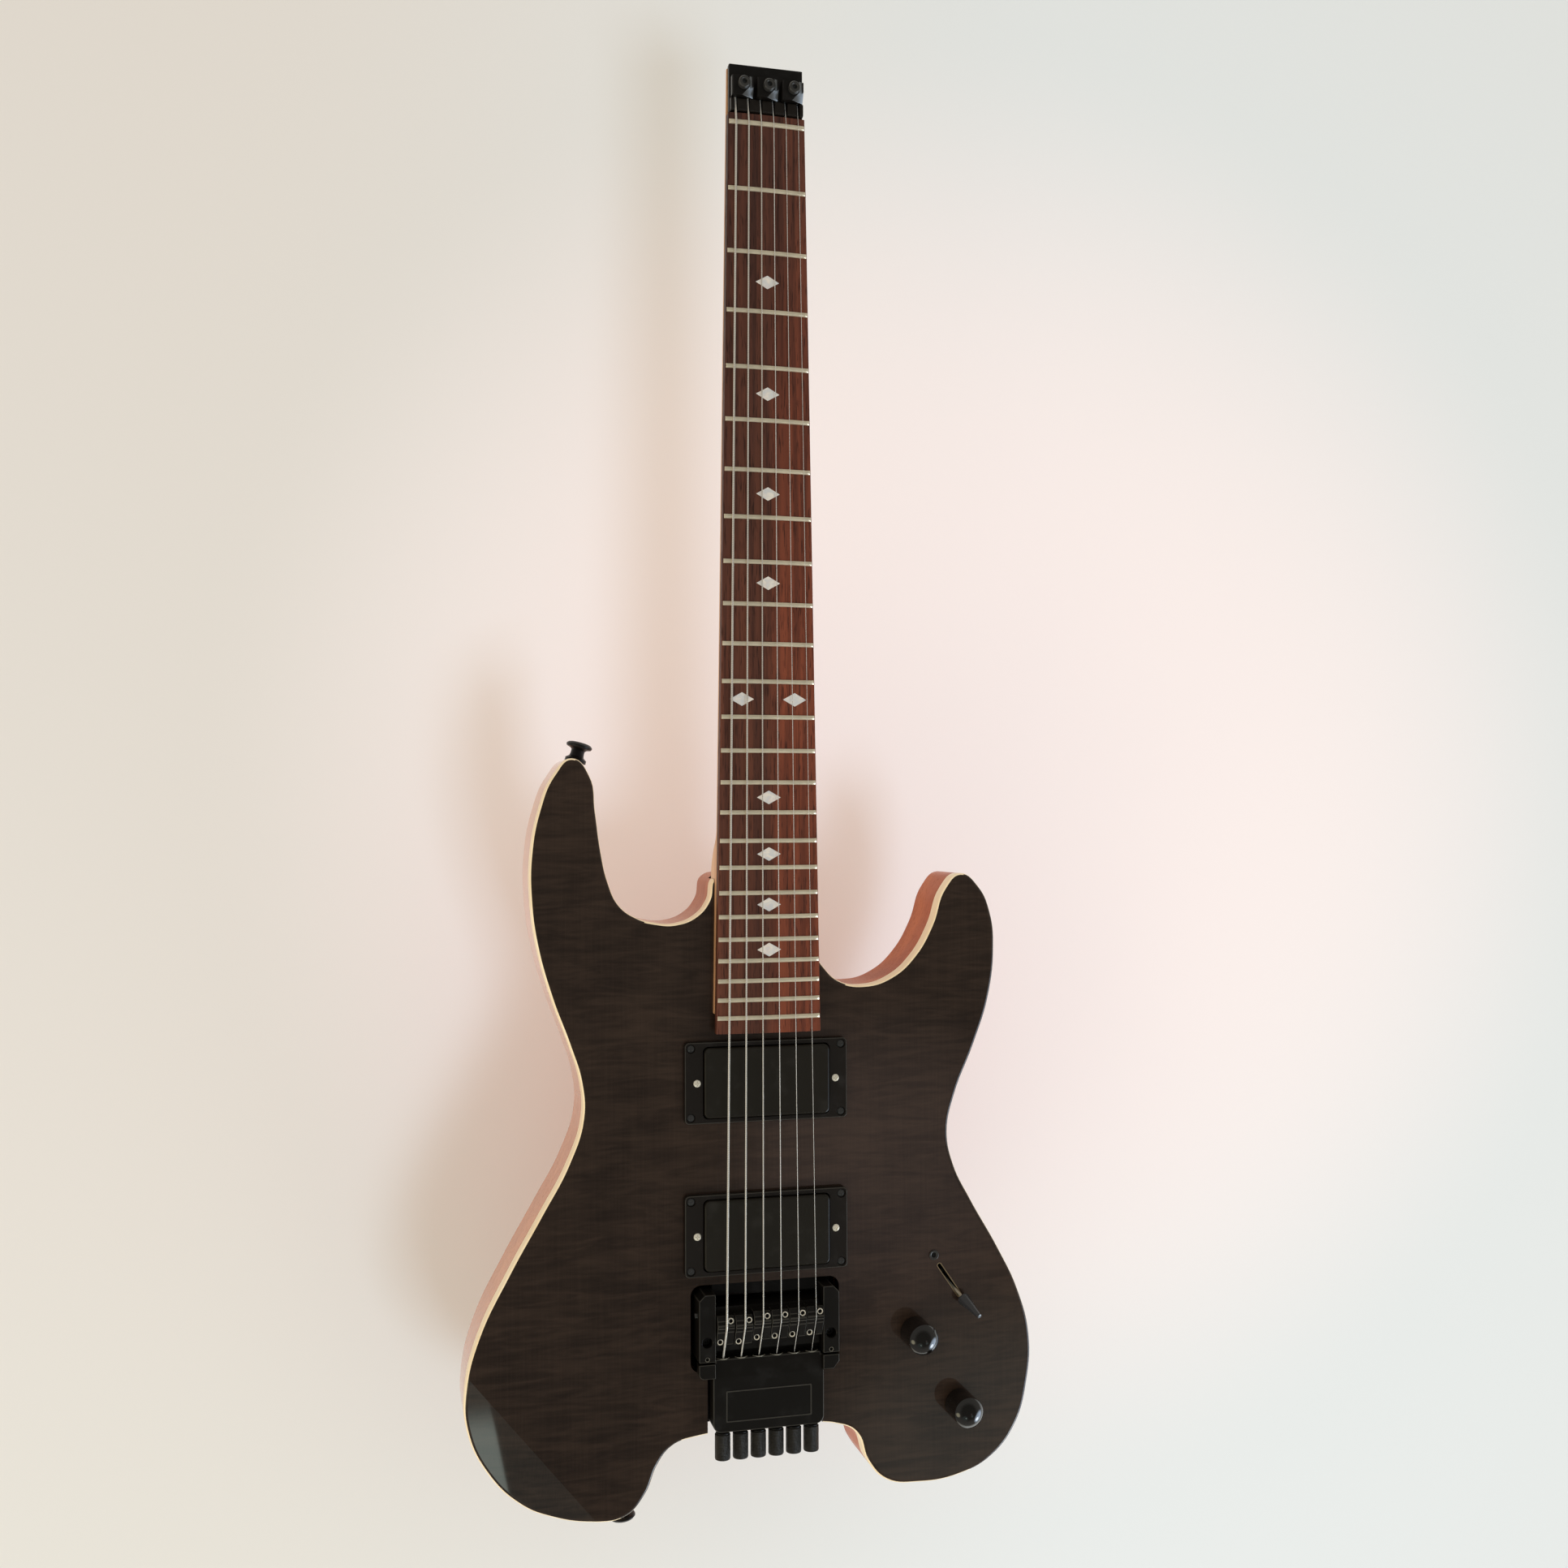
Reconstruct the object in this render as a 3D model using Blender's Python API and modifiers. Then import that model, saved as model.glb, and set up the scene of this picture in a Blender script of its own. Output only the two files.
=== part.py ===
"""Headless electric guitar with a tremolo bridge, modelled lying on its back.

Metres, +Z out of the top, +Y up the neck, X = 0 on the centre line.
Y = 0 is the saddle line, and the flat back lies on Z = 0.
"""
from math import cos, pi, radians, sin

import bmesh
import bpy
from mathutils import Matrix, Vector

MM = 0.001

# Neck and scale
SCALE_LENGTH = 0.648
FRET_COUNT = 24
STRING_COUNT = 6
NUT_WIDTH = 0.0431
BOARD_WIDTH_AT_LAST_FRET = 0.0577
BOARD_BOTTOM = 0.046
BOARD_THICKNESS = 0.0065
BOARD_RADIUS = 0.306
BOARD_BEHIND_ZERO_FRET = 0.0052
BOARD_PAST_LAST_FRET = 0.0085
FRET_WIDTH = 0.0026
FRET_HEIGHT = 0.0010
ZERO_FRET_HEIGHT = 0.0012
FRET_END_INSET = 0.0006
FRET_SINK = 0.0008
NECK_SQUARENESS = 2.2
HEEL_SQUARENESS = 10.2
NECK_DEPTH_AT_NUT = 0.0138
NECK_DEPTH_AT_HEEL_RAMP = 0.0160
HEEL_DEPTH = 0.0194
HEEL_LENGTH = 0.074
HEEL_RAMP = 0.024
BOARD_OVERHANG = 0.0105
TRUSS_ROD_WIDTH = 0.006
TRUSS_ROD_DEPTH = 0.009
TRUSS_ROD_START_GAP = 0.012
TRUSS_ROD_END_GAP = 0.010

# Body
BODY_WIDTH = 0.3145
BODY_LENGTH = 0.4040
BODY_THICKNESS = 0.042
CAP_THICKNESS = 0.009
BACK_EDGE_RADIUS = 0.003
TOP_EDGE_RADIUS = 0.0020
ARM_BEVEL_ANGLE = 11.0
GAP = 0.0003

# Headpiece
HEAD_LENGTH = 0.0270
HEAD_HALF_WIDTH = 0.0207
HEAD_PLATE = 0.0041
COMB_LENGTH = 0.0074
COMB_HEIGHT = 0.0032
COMB_INSET = 0.0004
COMB_SLOT_WIDTH = 0.0018
CLAMP_WIDTH = 0.0122
CLAMP_LENGTH = 0.0108
CLAMP_HEIGHT = 0.0042
CLAMP_SLOPE_WIDTH = 0.0030
CLAMP_SLOPE_DROP = 0.0024
CLAMP_SCREW_SHARE = 0.565
CLAMP_SCREW_RADIUS = 0.0020
CLAMP_HEAD_RADIUS = 0.0032
CLAMP_HEAD_HEIGHT = 0.0033
CLAMP_SOCKET_RADIUS = 0.0014
STRINGS_PER_CLAMP = 2

# Strings, bass to treble
STRING_RADII = (0.00058, 0.00045, 0.00033, 0.00022, 0.00017, 0.00013)
NUT_STRING_PITCH = 0.0070
SADDLE_STRING_PITCH = 0.00985
SADDLE_STRING_Z = 0.0572

# Pickups
NECK_RING_GAP = 0.0047
BRIDGE_RING_GAP = 0.0054
RING_END_WALL = 0.00985
RING_SIDE_WALL = 0.00235
RING_HEIGHT = 0.0040
RING_CORNER = 0.0022
PICKUP_LENGTH = 0.0696
PICKUP_WIDTH = 0.0377
PICKUP_TOP = 0.0485
PICKUP_BOTTOM = 0.0280
PICKUP_CORNER = 0.0030
PICKUP_CLEARANCE = 0.0006
PICKUP_LEG_LENGTH = 0.0830
PICKUP_LEG_WIDTH = 0.0130
PICKUP_LEG_THICKNESS = 0.0024
PICKUP_ROUT_FLOOR = 0.0180

# Bridge recess and fixed frame
RECESS_HALF_WIDTH = 0.0415
RECESS_FRONT = 0.0180
RECESS_REAR = -0.0286
RECESS_FLOOR = 0.0240
RECESS_CORNER = 0.0055
RECESS_STEP_Y = 0.0113
RECESS_STEP_DEPTH = 0.0020
CHANNEL_CLEARANCE = 0.0015
FRAME_OUTER = 0.0388
FRAME_INNER = 0.0298
FRAME_FRONT = 0.0153
FRAME_REAR = -0.0204
FRAME_STEP_GAP = 0.0008
FRAME_BASE = 0.0040
FRAME_TOP = 0.0520
FRAME_CHAMFER = 0.0032
FRAME_HOLE_Y = -0.0100
FRAME_HOLE_RADIUS = 0.0028
FRAME_HOLE_DEPTH = 0.0060
SPRING_WALL_Y = -0.0150
SPRING_WALL_THICKNESS = 0.0025
SPRING_WALL_HEIGHT = 0.0060

# Tremolo carriage, one casting with the tail block
PIVOT_Y = 0.0026
PIVOT_Z = 0.0438
PIVOT_RADIUS = 0.0014
PIVOT_DEPTH = 0.0055
PIVOT_PROUD = 0.0008
CARRIAGE_CLEARANCE = 0.0006
CARRIAGE_FRONT = 0.0070
CARRIAGE_PLATE_TOP = 0.0460
CARRIAGE_PLATE_BOTTOM = 0.0416
CARRIAGE_PLATE_REAR = -0.0165
CARRIAGE_LEG_THICKNESS = 0.0040
CARRIAGE_LEG_BOTTOM = 0.0300
TAIL_HALF_WIDTH = 0.0307
TAIL_FRONT = -0.0203
TAIL_REAR = -0.0590
TAIL_TOP = 0.0495
TAIL_BOTTOM = 0.0370
TAIL_WEB_TOP = 0.0410
TAIL_CORNER = 0.0045
TAIL_CREASE_Y = -0.0307
TAIL_FRONT_DROP = 0.0012
TAIL_EAR_FRONT_GAP = 0.0012
TAIL_EAR_INNER = 0.0298
TAIL_EAR_OUTER = 0.0388
TAIL_EAR_REAR = -0.0293
TAIL_EAR_BOTTOM = 0.0455
TAIL_EAR_TOP = 0.0518
TAIL_EAR_CORNER = 0.0030
TAIL_EAR_CHAMFER = (0.0031, 0.0039)

# Tremolo springs, compression coils between the frame and the carriage leg
SPRING_COUNT = 2
SPRING_SPACING = 0.0240
SPRING_Z = 0.0322
SPRING_COIL_RADIUS = 0.0027
SPRING_WIRE_RADIUS = 0.0005
SPRING_TURNS = 6
SPRING_POINTS_PER_TURN = 9

# Tuners in the tail block
BORE_Z = 0.0445
BORE_RADIUS = 0.0032
BORE_REAR_WALL = 0.0045
TAIL_STRING_Z = 0.0465
ROD_RADIUS = 0.0018
ROD_CLEARANCE = 0.0004
JAW_CLEARANCE = 0.0003
JAW_LENGTH = 0.0170
JAW_FRONT_GAP = 0.0060
JAW_FRONT_WALL = 0.0030
ROD_TIP_GAP = 0.0050
KNOB_RADIUS = 0.0042
KNOB_LENGTH = 0.0146
KNOB_GAP = 0.0010

# Saddles
SADDLE_WIDTH = 0.0094
SADDLE_FRONT = 0.0055
SADDLE_REAR = -0.0107
SADDLE_SHOULDER = 0.0030
SADDLE_GROOVE_WIDTH = 0.0022
SADDLE_SCREW_OFFSET = 0.0031
SADDLE_SCREW_RADIUS = 0.0013
SADDLE_SCREW_DEPTH = 0.0020
SADDLE_SETBACK = (0.0015, 0.0015, 0.0, 0.0, 0.0, 0.0)

# Controls
POT_RADIUS = 0.0085
POT_BOTTOM = 0.0165
POT_TOP = 0.0270
BUSHING_RADIUS = 0.0040
SHAFT_RADIUS = 0.0030
SHAFT_CLEARANCE = 0.0004
CONTROL_KNOB_RADIUS = 0.0080
CONTROL_KNOB_HEIGHT = 0.0200
CONTROL_KNOB_DOME = 0.0032
SELECTOR_SLOT_LENGTH = 0.0236
SELECTOR_SLOT_WIDTH = 0.0030
SELECTOR_FRAME_MARGIN = 0.0090
SELECTOR_FRAME_HALF_WIDTH = 0.0055
SELECTOR_CHEEK_OFFSET = 0.0036
SELECTOR_DIRECTION = -55.66
SELECTOR_PIVOT_Z = 0.0260
SELECTOR_PIN_RADIUS = 0.0011
SELECTOR_TILT = 30.0
LEVER_THICKNESS = 0.0014
LEVER_WIDTH = 0.0040
LEVER_TAIL = 0.0060
LEVER_REACH = 0.0231
TIP_LENGTH = 0.0160
TIP_BASE_RADIUS = 0.0031
TIP_END_RADIUS = 0.0012
JACK_Z = 0.0170
JACK_BARREL_RADIUS = 0.0055
JACK_BORE_RADIUS = 0.0035
JACK_FLANGE_RADIUS = 0.0085
JACK_FLANGE = 0.0018
JACK_LENGTH = 0.0290
JACK_BORE_DEPTH = 0.0260
COVER_THICKNESS = 0.0022
COVER_LEDGE = 0.0045

# Strap buttons
HORN_STRAP_Z = 0.0230
TAIL_STRAP_Z = 0.0180
STRAP_BASE_RADIUS = 0.0058
STRAP_NECK_RADIUS = 0.0038
STRAP_HEAD_RADIUS = 0.0071
STRAP_HEIGHT = 0.0104
STRAP_SEAT_DEPTH = 0.0009

# Plan of the body, in millimetres at its own width and length. The outer edge runs from the
# bass cutaway round to the treble cutaway.
BODY_OUTLINE_MM = (
    (-27.5, 237), (-31, 225), (-37.5, 217), (-49, 212.5), (-60, 213), (-70.5, 216), (-80, 223),
    (-86, 236), (-89.5, 251.5), (-92.5, 273), (-95.5, 292), (-105, 301.5), (-114.5, 293),
    (-122.5, 274), (-127, 249), (-127, 226.5), (-124, 203.5), (-116, 174.5), (-106.5, 149),
    (-100.5, 129.5), (-99.5, 110.5), (-107, 87), (-121.5, 60.5), (-138, 31.5), (-154, -1),
    (-160.5, -27.5), (-159.5, -49), (-149.5, -72), (-131.5, -91), (-115.5, -98.5),
    (-94.5, -102.5), (-76.5, -101), (-66, -90.5), (-59, -75), (-51.5, -66.5), (-39, -63),
    (0, -62), (44, -64.5), (52, -70), (57.5, -84.5), (68.5, -96.5), (87, -100), (111.5, -98),
    (131, -89.5), (145, -73.5), (152.5, -49.5), (154, -23.5), (147, 3), (135.5, 26.5),
    (119, 55), (109, 75), (105.5, 93.5), (110, 114), (121.5, 141.5), (130.5, 168), (134, 196),
    (132, 215.5), (125, 230.5), (114, 238), (104.5, 230), (96.5, 209), (86.5, 192.5),
    (73, 181), (57, 176.5), (42, 179.5), (33, 188), (21, 206), (4, 226), (-14, 238),
)
CAVITY_OUTLINE_MM = (
    (74, 30), (90, 36), (108, 33), (121, 12), (129, -20), (129, -55), (117, -77),
    (96, -83), (74, -70), (69, -20),
)
ARM_BEVEL_FROM_MM = (-160, -19.8)
ARM_BEVEL_TO_MM = (-92, -102)
POT_PLACES_MM = {"volume": (85, -16), "tone": (111, -58)}
SELECTOR_PLACE_MM = (105.9, 10.7)
JACK_FACE_MM = (153.3, -30)
STRAP_BUTTONS_MM = {
    "strap_button_horn": ((-101, 300.6), HORN_STRAP_Z, (0.26, 0.966)),
    "strap_button_tail": ((-75.7, -101.5), TAIL_STRAP_Z, (0.10, -0.995)),
}

LAST_FRET_Y = SCALE_LENGTH * 2 ** (-FRET_COUNT / 12)
BOARD_END_Y = LAST_FRET_Y - BOARD_PAST_LAST_FRET
BOARD_HEAD_Y = SCALE_LENGTH + BOARD_BEHIND_ZERO_FRET
BOARD_TOP = BOARD_BOTTOM + BOARD_THICKNESS
HEEL_END_Y = BOARD_END_Y + BOARD_OVERHANG
HEEL_HEAD_Y = HEEL_END_Y + HEEL_LENGTH
CAP_BOTTOM = BODY_THICKNESS - CAP_THICKNESS
BACK_TOP = CAP_BOTTOM - GAP
RING_LENGTH = PICKUP_LENGTH + 2 * (PICKUP_CLEARANCE + RING_END_WALL)
RING_WIDTH = PICKUP_WIDTH + 2 * (PICKUP_CLEARANCE + RING_SIDE_WALL)
PICKUP_PLACES = {
    "neck_pickup": BOARD_END_Y - NECK_RING_GAP - RING_WIDTH / 2,
    "bridge_pickup": RECESS_FRONT + BRIDGE_RING_GAP + RING_WIDTH / 2,
}
HEAD_START_Y = BOARD_HEAD_Y + GAP
HEAD_END_Y = HEAD_START_Y + HEAD_LENGTH
HEAD_BOTTOM = BOARD_BOTTOM + GAP
HEAD_TOP = HEAD_BOTTOM + HEAD_PLATE
POCKET_FLOOR = BOARD_BOTTOM - HEEL_DEPTH - GAP
CLAMP_FRONT_Y = HEAD_START_Y + COMB_LENGTH + GAP
CLAMP_BOTTOM = HEAD_TOP + 2 * STRING_RADII[0] + 2 * GAP
CLAMP_TOP = CLAMP_BOTTOM + CLAMP_HEIGHT
FRAME_BOTTOM = RECESS_FLOOR + GAP
CUTTER_MARGIN = 0.005


def clear_scene():
    for old in list(bpy.data.objects):
        bpy.data.objects.remove(old, do_unlink=True)


clear_scene()
PARTS = bpy.data.collections.new("headless_electric_guitar")
CUTTERS = bpy.data.collections.new("cutters")
bpy.context.scene.collection.children.link(PARTS)
bpy.context.scene.collection.children.link(CUTTERS)


def make_material(name, color, roughness, metallic=0.0):
    material = bpy.data.materials.new(name)
    material.use_nodes = True
    shader = material.node_tree.nodes["Principled BSDF"]
    shader.inputs["Base Color"].default_value = (*color, 1.0)
    shader.inputs["Roughness"].default_value = roughness
    shader.inputs["Metallic"].default_value = metallic
    material.diffuse_color = (*color, 1.0)
    return material


MAHOGANY = make_material("mahogany", (0.36, 0.13, 0.06), 0.35)
FLAMED_TOP = make_material("stained_maple", (0.035, 0.026, 0.022), 0.25)
PALE_WOOD = make_material("neck_wood", (0.72, 0.50, 0.30), 0.35)
ROSEWOOD = make_material("rosewood", (0.09, 0.035, 0.022), 0.5)
FRET_METAL = make_material("fret_metal", (0.75, 0.70, 0.58), 0.25, 1.0)
BLACK_METAL = make_material("black_metal", (0.02, 0.02, 0.022), 0.4, 0.6)
BLACK_PLASTIC = make_material("black_plastic", (0.015, 0.015, 0.015), 0.35)
GLOSS_BLACK = make_material("gloss_black", (0.01, 0.01, 0.01), 0.1)
STEEL = make_material("steel", (0.6, 0.6, 0.62), 0.3, 1.0)


def link_part(obj, material):
    PARTS.objects.link(obj)
    obj.data.materials.clear()
    obj.data.materials.append(material)
    return obj


def link_cutter(obj):
    CUTTERS.objects.link(obj)
    obj.hide_render = True
    obj.display_type = "WIRE"
    return obj


def mesh_object(name, bm):
    mesh = bpy.data.meshes.new(name)
    bm.to_mesh(mesh)
    bm.free()
    return bpy.data.objects.new(name, mesh)


def box(name, x_range, y_range, z_range):
    bm = bmesh.new()
    size = Vector((x_range[1] - x_range[0], y_range[1] - y_range[0], z_range[1] - z_range[0]))
    middle = Vector((sum(x_range), sum(y_range), sum(z_range))) / 2
    placing = Matrix.Translation(middle) @ Matrix.Diagonal((*size, 1.0))
    bmesh.ops.create_cube(bm, size=1.0, matrix=placing)
    return mesh_object(name, bm)


def cylinder(name, radius, start, end, sides=16, end_radius=None):
    """A cylinder or cone between two points."""
    start = Vector(start)
    axis = Vector(end) - start
    turn = axis.to_track_quat("Z", "Y").to_matrix().to_4x4()
    bm = bmesh.new()
    bmesh.ops.create_cone(
        bm, cap_ends=True, segments=sides, radius1=radius,
        radius2=radius if end_radius is None else end_radius, depth=axis.length,
        matrix=Matrix.Translation(start + axis / 2) @ turn)
    return mesh_object(name, bm)


def turned(name, profile, place, direction=(0, 0, 1), steps=24):
    """Revolve a profile of (radius, height) pairs, listed from the top down its outer side."""
    mesh = bpy.data.meshes.new(name)
    points = [(radius, 0.0, height) for radius, height in profile]
    mesh.from_pydata(points, [(i, i + 1) for i in range(len(points) - 1)], [])
    obj = bpy.data.objects.new(name, mesh)
    obj.location = place
    obj.rotation_mode = "QUATERNION"
    obj.rotation_quaternion = Vector(direction).to_track_quat("Z", "Y")
    screw = obj.modifiers.new("turn", "SCREW")
    screw.steps = steps
    screw.render_steps = steps
    screw.use_merge_vertices = True
    screw.merge_threshold = 0.00001
    screw.use_smooth_shade = True
    return obj


def curve_to_mesh(curve_object, name):
    """The evaluated curve as a mesh whose loose caps are welded to its sides."""
    bpy.context.scene.collection.objects.link(curve_object)
    graph = bpy.context.evaluated_depsgraph_get()
    mesh = bpy.data.meshes.new_from_object(curve_object.evaluated_get(graph))
    bm = bmesh.new()
    bm.from_mesh(mesh)
    bmesh.ops.remove_doubles(bm, verts=bm.verts, dist=0.000001)
    bm.to_mesh(mesh)
    bm.free()
    placing = curve_object.matrix_world.copy()
    bpy.data.objects.remove(curve_object)
    obj = bpy.data.objects.new(name, mesh)
    obj.matrix_world = placing
    return obj


def plate(name, outline, bottom, top, smooth=False, resolution=3, rim=0.0):
    """A flat outline extruded from bottom to top, with rounded rims if asked.

    Smooth outlines are curved through their points.
    """
    curve = bpy.data.curves.new(name, "CURVE")
    curve.dimensions = "2D"
    curve.fill_mode = "BOTH"
    curve.extrude = (top - bottom) / 2 - rim
    curve.bevel_depth = rim
    curve.bevel_resolution = 1
    curve.offset = -rim
    curve.resolution_u = resolution
    spline = curve.splines.new("BEZIER" if smooth else "POLY")
    points = spline.bezier_points if smooth else spline.points
    points.add(len(outline) - 1)
    for point, (x, y) in zip(points, outline):
        point.co = (x, y, 0.0) if smooth else (x, y, 0.0, 1.0)
        if smooth:
            point.handle_left_type = "AUTO"
            point.handle_right_type = "AUTO"
    spline.use_cyclic_u = True
    obj = bpy.data.objects.new(name, curve)
    obj.location.z = (top + bottom) / 2
    bpy.context.scene.collection.objects.link(obj)
    bpy.context.view_layer.update()
    bpy.context.scene.collection.objects.unlink(obj)
    return curve_to_mesh(obj, name)


def side_profile(name, outline, x_range):
    """A (y, z) outline extruded along X."""
    obj = plate(name, outline, x_range[0], x_range[1])
    turn = Matrix(((0, 0, 1, 0), (1, 0, 0, 0), (0, 1, 0, 0), (0, 0, 0, 1)))
    obj.data.transform(turn @ obj.matrix_world)
    obj.matrix_world = Matrix.Identity(4)
    return obj


def rounded_rectangle(x_range, y_range, radius, arc_steps=3):
    points = []
    corners = ((1, 1, 0), (0, 1, 1), (0, 0, 2), (1, 0, 3))
    for x_side, y_side, quarter in corners:
        x = x_range[x_side] + (radius if x_side == 0 else -radius)
        y = y_range[y_side] + (radius if y_side == 0 else -radius)
        for step in range(arc_steps + 1):
            angle = (quarter + step / arc_steps) * pi / 2
            points.append((x + radius * cos(angle), y + radius * sin(angle)))
    return points


def on_body(point_mm):
    """A plan point in metres, stretched with the body's width and length."""
    spans = []
    for axis in (0, 1):
        values = [point[axis] for point in BODY_OUTLINE_MM]
        spans.append(max(values) - min(values))
    x, y = point_mm
    return (x * BODY_WIDTH / spans[0], y * BODY_LENGTH / spans[1])


def plan(points_mm):
    return [on_body(point) for point in points_mm]


def grown(points, distance):
    """The outline with each point moved away from the middle."""
    middle = Vector((sum(p[0] for p in points), sum(p[1] for p in points))) / len(points)
    moved = []
    for point in points:
        arm = Vector(point) - middle
        moved.append(tuple(Vector(point) + arm.normalized() * distance))
    return moved


def boolean(obj, tool, operation):
    modifier = obj.modifiers.new(tool.name, "BOOLEAN")
    modifier.operation = operation
    modifier.solver = "EXACT"
    modifier.object = tool
    return obj


def cut(obj, tool):
    if tool.name not in CUTTERS.objects:
        link_cutter(tool)
    return boolean(obj, tool, "DIFFERENCE")


def join(obj, tool):
    if tool.name not in CUTTERS.objects:
        link_cutter(tool)
    return boolean(obj, tool, "UNION")


def round_edges(obj, width, segments=2, angle=40.0):
    bevel = obj.modifiers.new("rounded_edges", "BEVEL")
    bevel.width = width
    bevel.segments = segments
    bevel.limit_method = "ANGLE"
    bevel.angle_limit = radians(angle)
    bevel.use_clamp_overlap = True
    return obj


def loft(name, *solids):
    """Skin rows of closed rings with equal point counts and cap both ends of each."""
    bm = bmesh.new()
    for rings in solids:
        rows = [[bm.verts.new(point) for point in ring] for ring in rings]
        count = len(rings[0])
        for row, following in zip(rows, rows[1:]):
            for i in range(count):
                j = (i + 1) % count
                bm.faces.new((row[i], row[j], following[j], following[i]))
        bm.faces.new(rows[0][::-1])
        bm.faces.new(rows[-1])
    bmesh.ops.recalc_face_normals(bm, faces=bm.faces)
    return mesh_object(name, bm)


def wire(name, points, radius, resolution=1):
    curve = bpy.data.curves.new(name, "CURVE")
    curve.dimensions = "3D"
    curve.bevel_depth = radius
    curve.bevel_resolution = resolution
    curve.use_fill_caps = True
    spline = curve.splines.new("POLY")
    spline.points.add(len(points) - 1)
    for point, place in zip(spline.points, points):
        point.co = (*place, 1.0)
    return bpy.data.objects.new(name, curve)


def board_half_width(y):
    taper = (BOARD_WIDTH_AT_LAST_FRET - NUT_WIDTH) / (SCALE_LENGTH - LAST_FRET_Y)
    return (NUT_WIDTH + taper * (SCALE_LENGTH - y)) / 2


def crown_drop(x):
    """How far the radiused board falls below its centre line at x."""
    return x * x / (2 * BOARD_RADIUS)


def fret_y(number):
    return SCALE_LENGTH * 2 ** (-number / 12)


def string_x(index, y):
    """X of a string: it fans out from the nut pitch to the saddle pitch."""
    share = min(max((SCALE_LENGTH - y) / SCALE_LENGTH, 0.0), 1.0)
    pitch = NUT_STRING_PITCH + (SADDLE_STRING_PITCH - NUT_STRING_PITCH) * share
    return (index - (STRING_COUNT - 1) / 2) * pitch


def string_z_at_zero_fret(index):
    x = string_x(index, SCALE_LENGTH)
    return BOARD_TOP + ZERO_FRET_HEIGHT - crown_drop(x) + GAP + STRING_RADII[index]


def string_z_at_saddle(index):
    return SADDLE_STRING_Z - crown_drop(string_x(index, 0.0))


def make_body():
    outline = plan(BODY_OUTLINE_MM)
    back = plate("body_back", outline, 0.0, BODY_THICKNESS, smooth=True, resolution=2,
                 rim=BACK_EDGE_RADIUS)
    top = plate("maple_top", outline, 0.0, BODY_THICKNESS, smooth=True, resolution=2,
                rim=TOP_EDGE_RADIUS)
    link_part(back, MAHOGANY)
    link_part(top, FLAMED_TOP)
    reach = 0.4
    cut(back, box("above_back", (-reach, reach), (-reach, reach), (BACK_TOP, reach)))
    cut(top, box("below_top", (-reach, reach), (-reach, reach), (-reach, CAP_BOTTOM)))
    cut_arm_bevel(top)
    for obj in (back, top):
        cut_neck_pocket(obj)
        cut_pickup_routs(obj)
        cut_bridge_recess(obj)
    cut_controls(back, top)
    for name, (base, height, direction) in STRAP_BUTTONS_MM.items():
        cut(back, strap_seat(name, on_body(base), height, direction))


def cut_arm_bevel(top):
    """A slanting slice off the lower bass bout, where the forearm rests."""
    start = Vector((*on_body(ARM_BEVEL_FROM_MM), 0))
    end = Vector((*on_body(ARM_BEVEL_TO_MM), 0))
    along = (end - start).normalized()
    outward = Vector((along.y, -along.x, 0))
    if outward.x > 0:
        outward = -outward
    depth = 0.05
    length = (end - start).length * 1.6
    slicer = box("arm_bevel_cutter", (-length / 2, length / 2), (0, depth), (0, depth))
    up = Vector((0, 0, 1))
    frame = Matrix((along, outward, up)).transposed().to_4x4()
    if frame.determinant() < 0:
        frame = Matrix((-along, outward, up)).transposed().to_4x4()
    tilt = Matrix.Rotation(radians(-ARM_BEVEL_ANGLE), 4, "X")
    middle = (start + end) / 2
    middle.z = BODY_THICKNESS
    slicer.data.transform(Matrix.Translation(middle) @ frame @ tilt)
    cut(top, slicer)


def cut_neck_pocket(obj):
    far = HEEL_HEAD_Y + 0.04
    near = HEEL_END_Y - GAP
    outline = [
        (-board_half_width(near) - GAP, near), (board_half_width(near) + GAP, near),
        (board_half_width(far) + GAP, far), (-board_half_width(far) - GAP, far),
    ]
    pocket = plate("pocket_cutter_" + obj.name, outline, POCKET_FLOOR,
                   BODY_THICKNESS + CUTTER_MARGIN)
    cut(obj, pocket)


def cut_pickup_routs(obj):
    for name, y in PICKUP_PLACES.items():
        clearance = 2 * PICKUP_CLEARANCE
        half_length = PICKUP_LENGTH / 2 + clearance
        half_width = PICKUP_WIDTH / 2 + clearance
        rout = plate(
            name + "_rout_" + obj.name,
            rounded_rectangle((-half_length, half_length), (y - half_width, y + half_width),
                              PICKUP_CORNER),
            PICKUP_ROUT_FLOOR, BODY_THICKNESS + CUTTER_MARGIN)
        leg_half = PICKUP_LEG_LENGTH / 2 + clearance
        leg_width = PICKUP_LEG_WIDTH / 2 + clearance
        legs = box(name + "_leg_rout_" + obj.name, (-leg_half, leg_half),
                   (y - leg_width, y + leg_width),
                   (PICKUP_ROUT_FLOOR + GAP, BODY_THICKNESS + CUTTER_MARGIN * 2))
        cut(obj, rout)
        cut(obj, legs)


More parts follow.
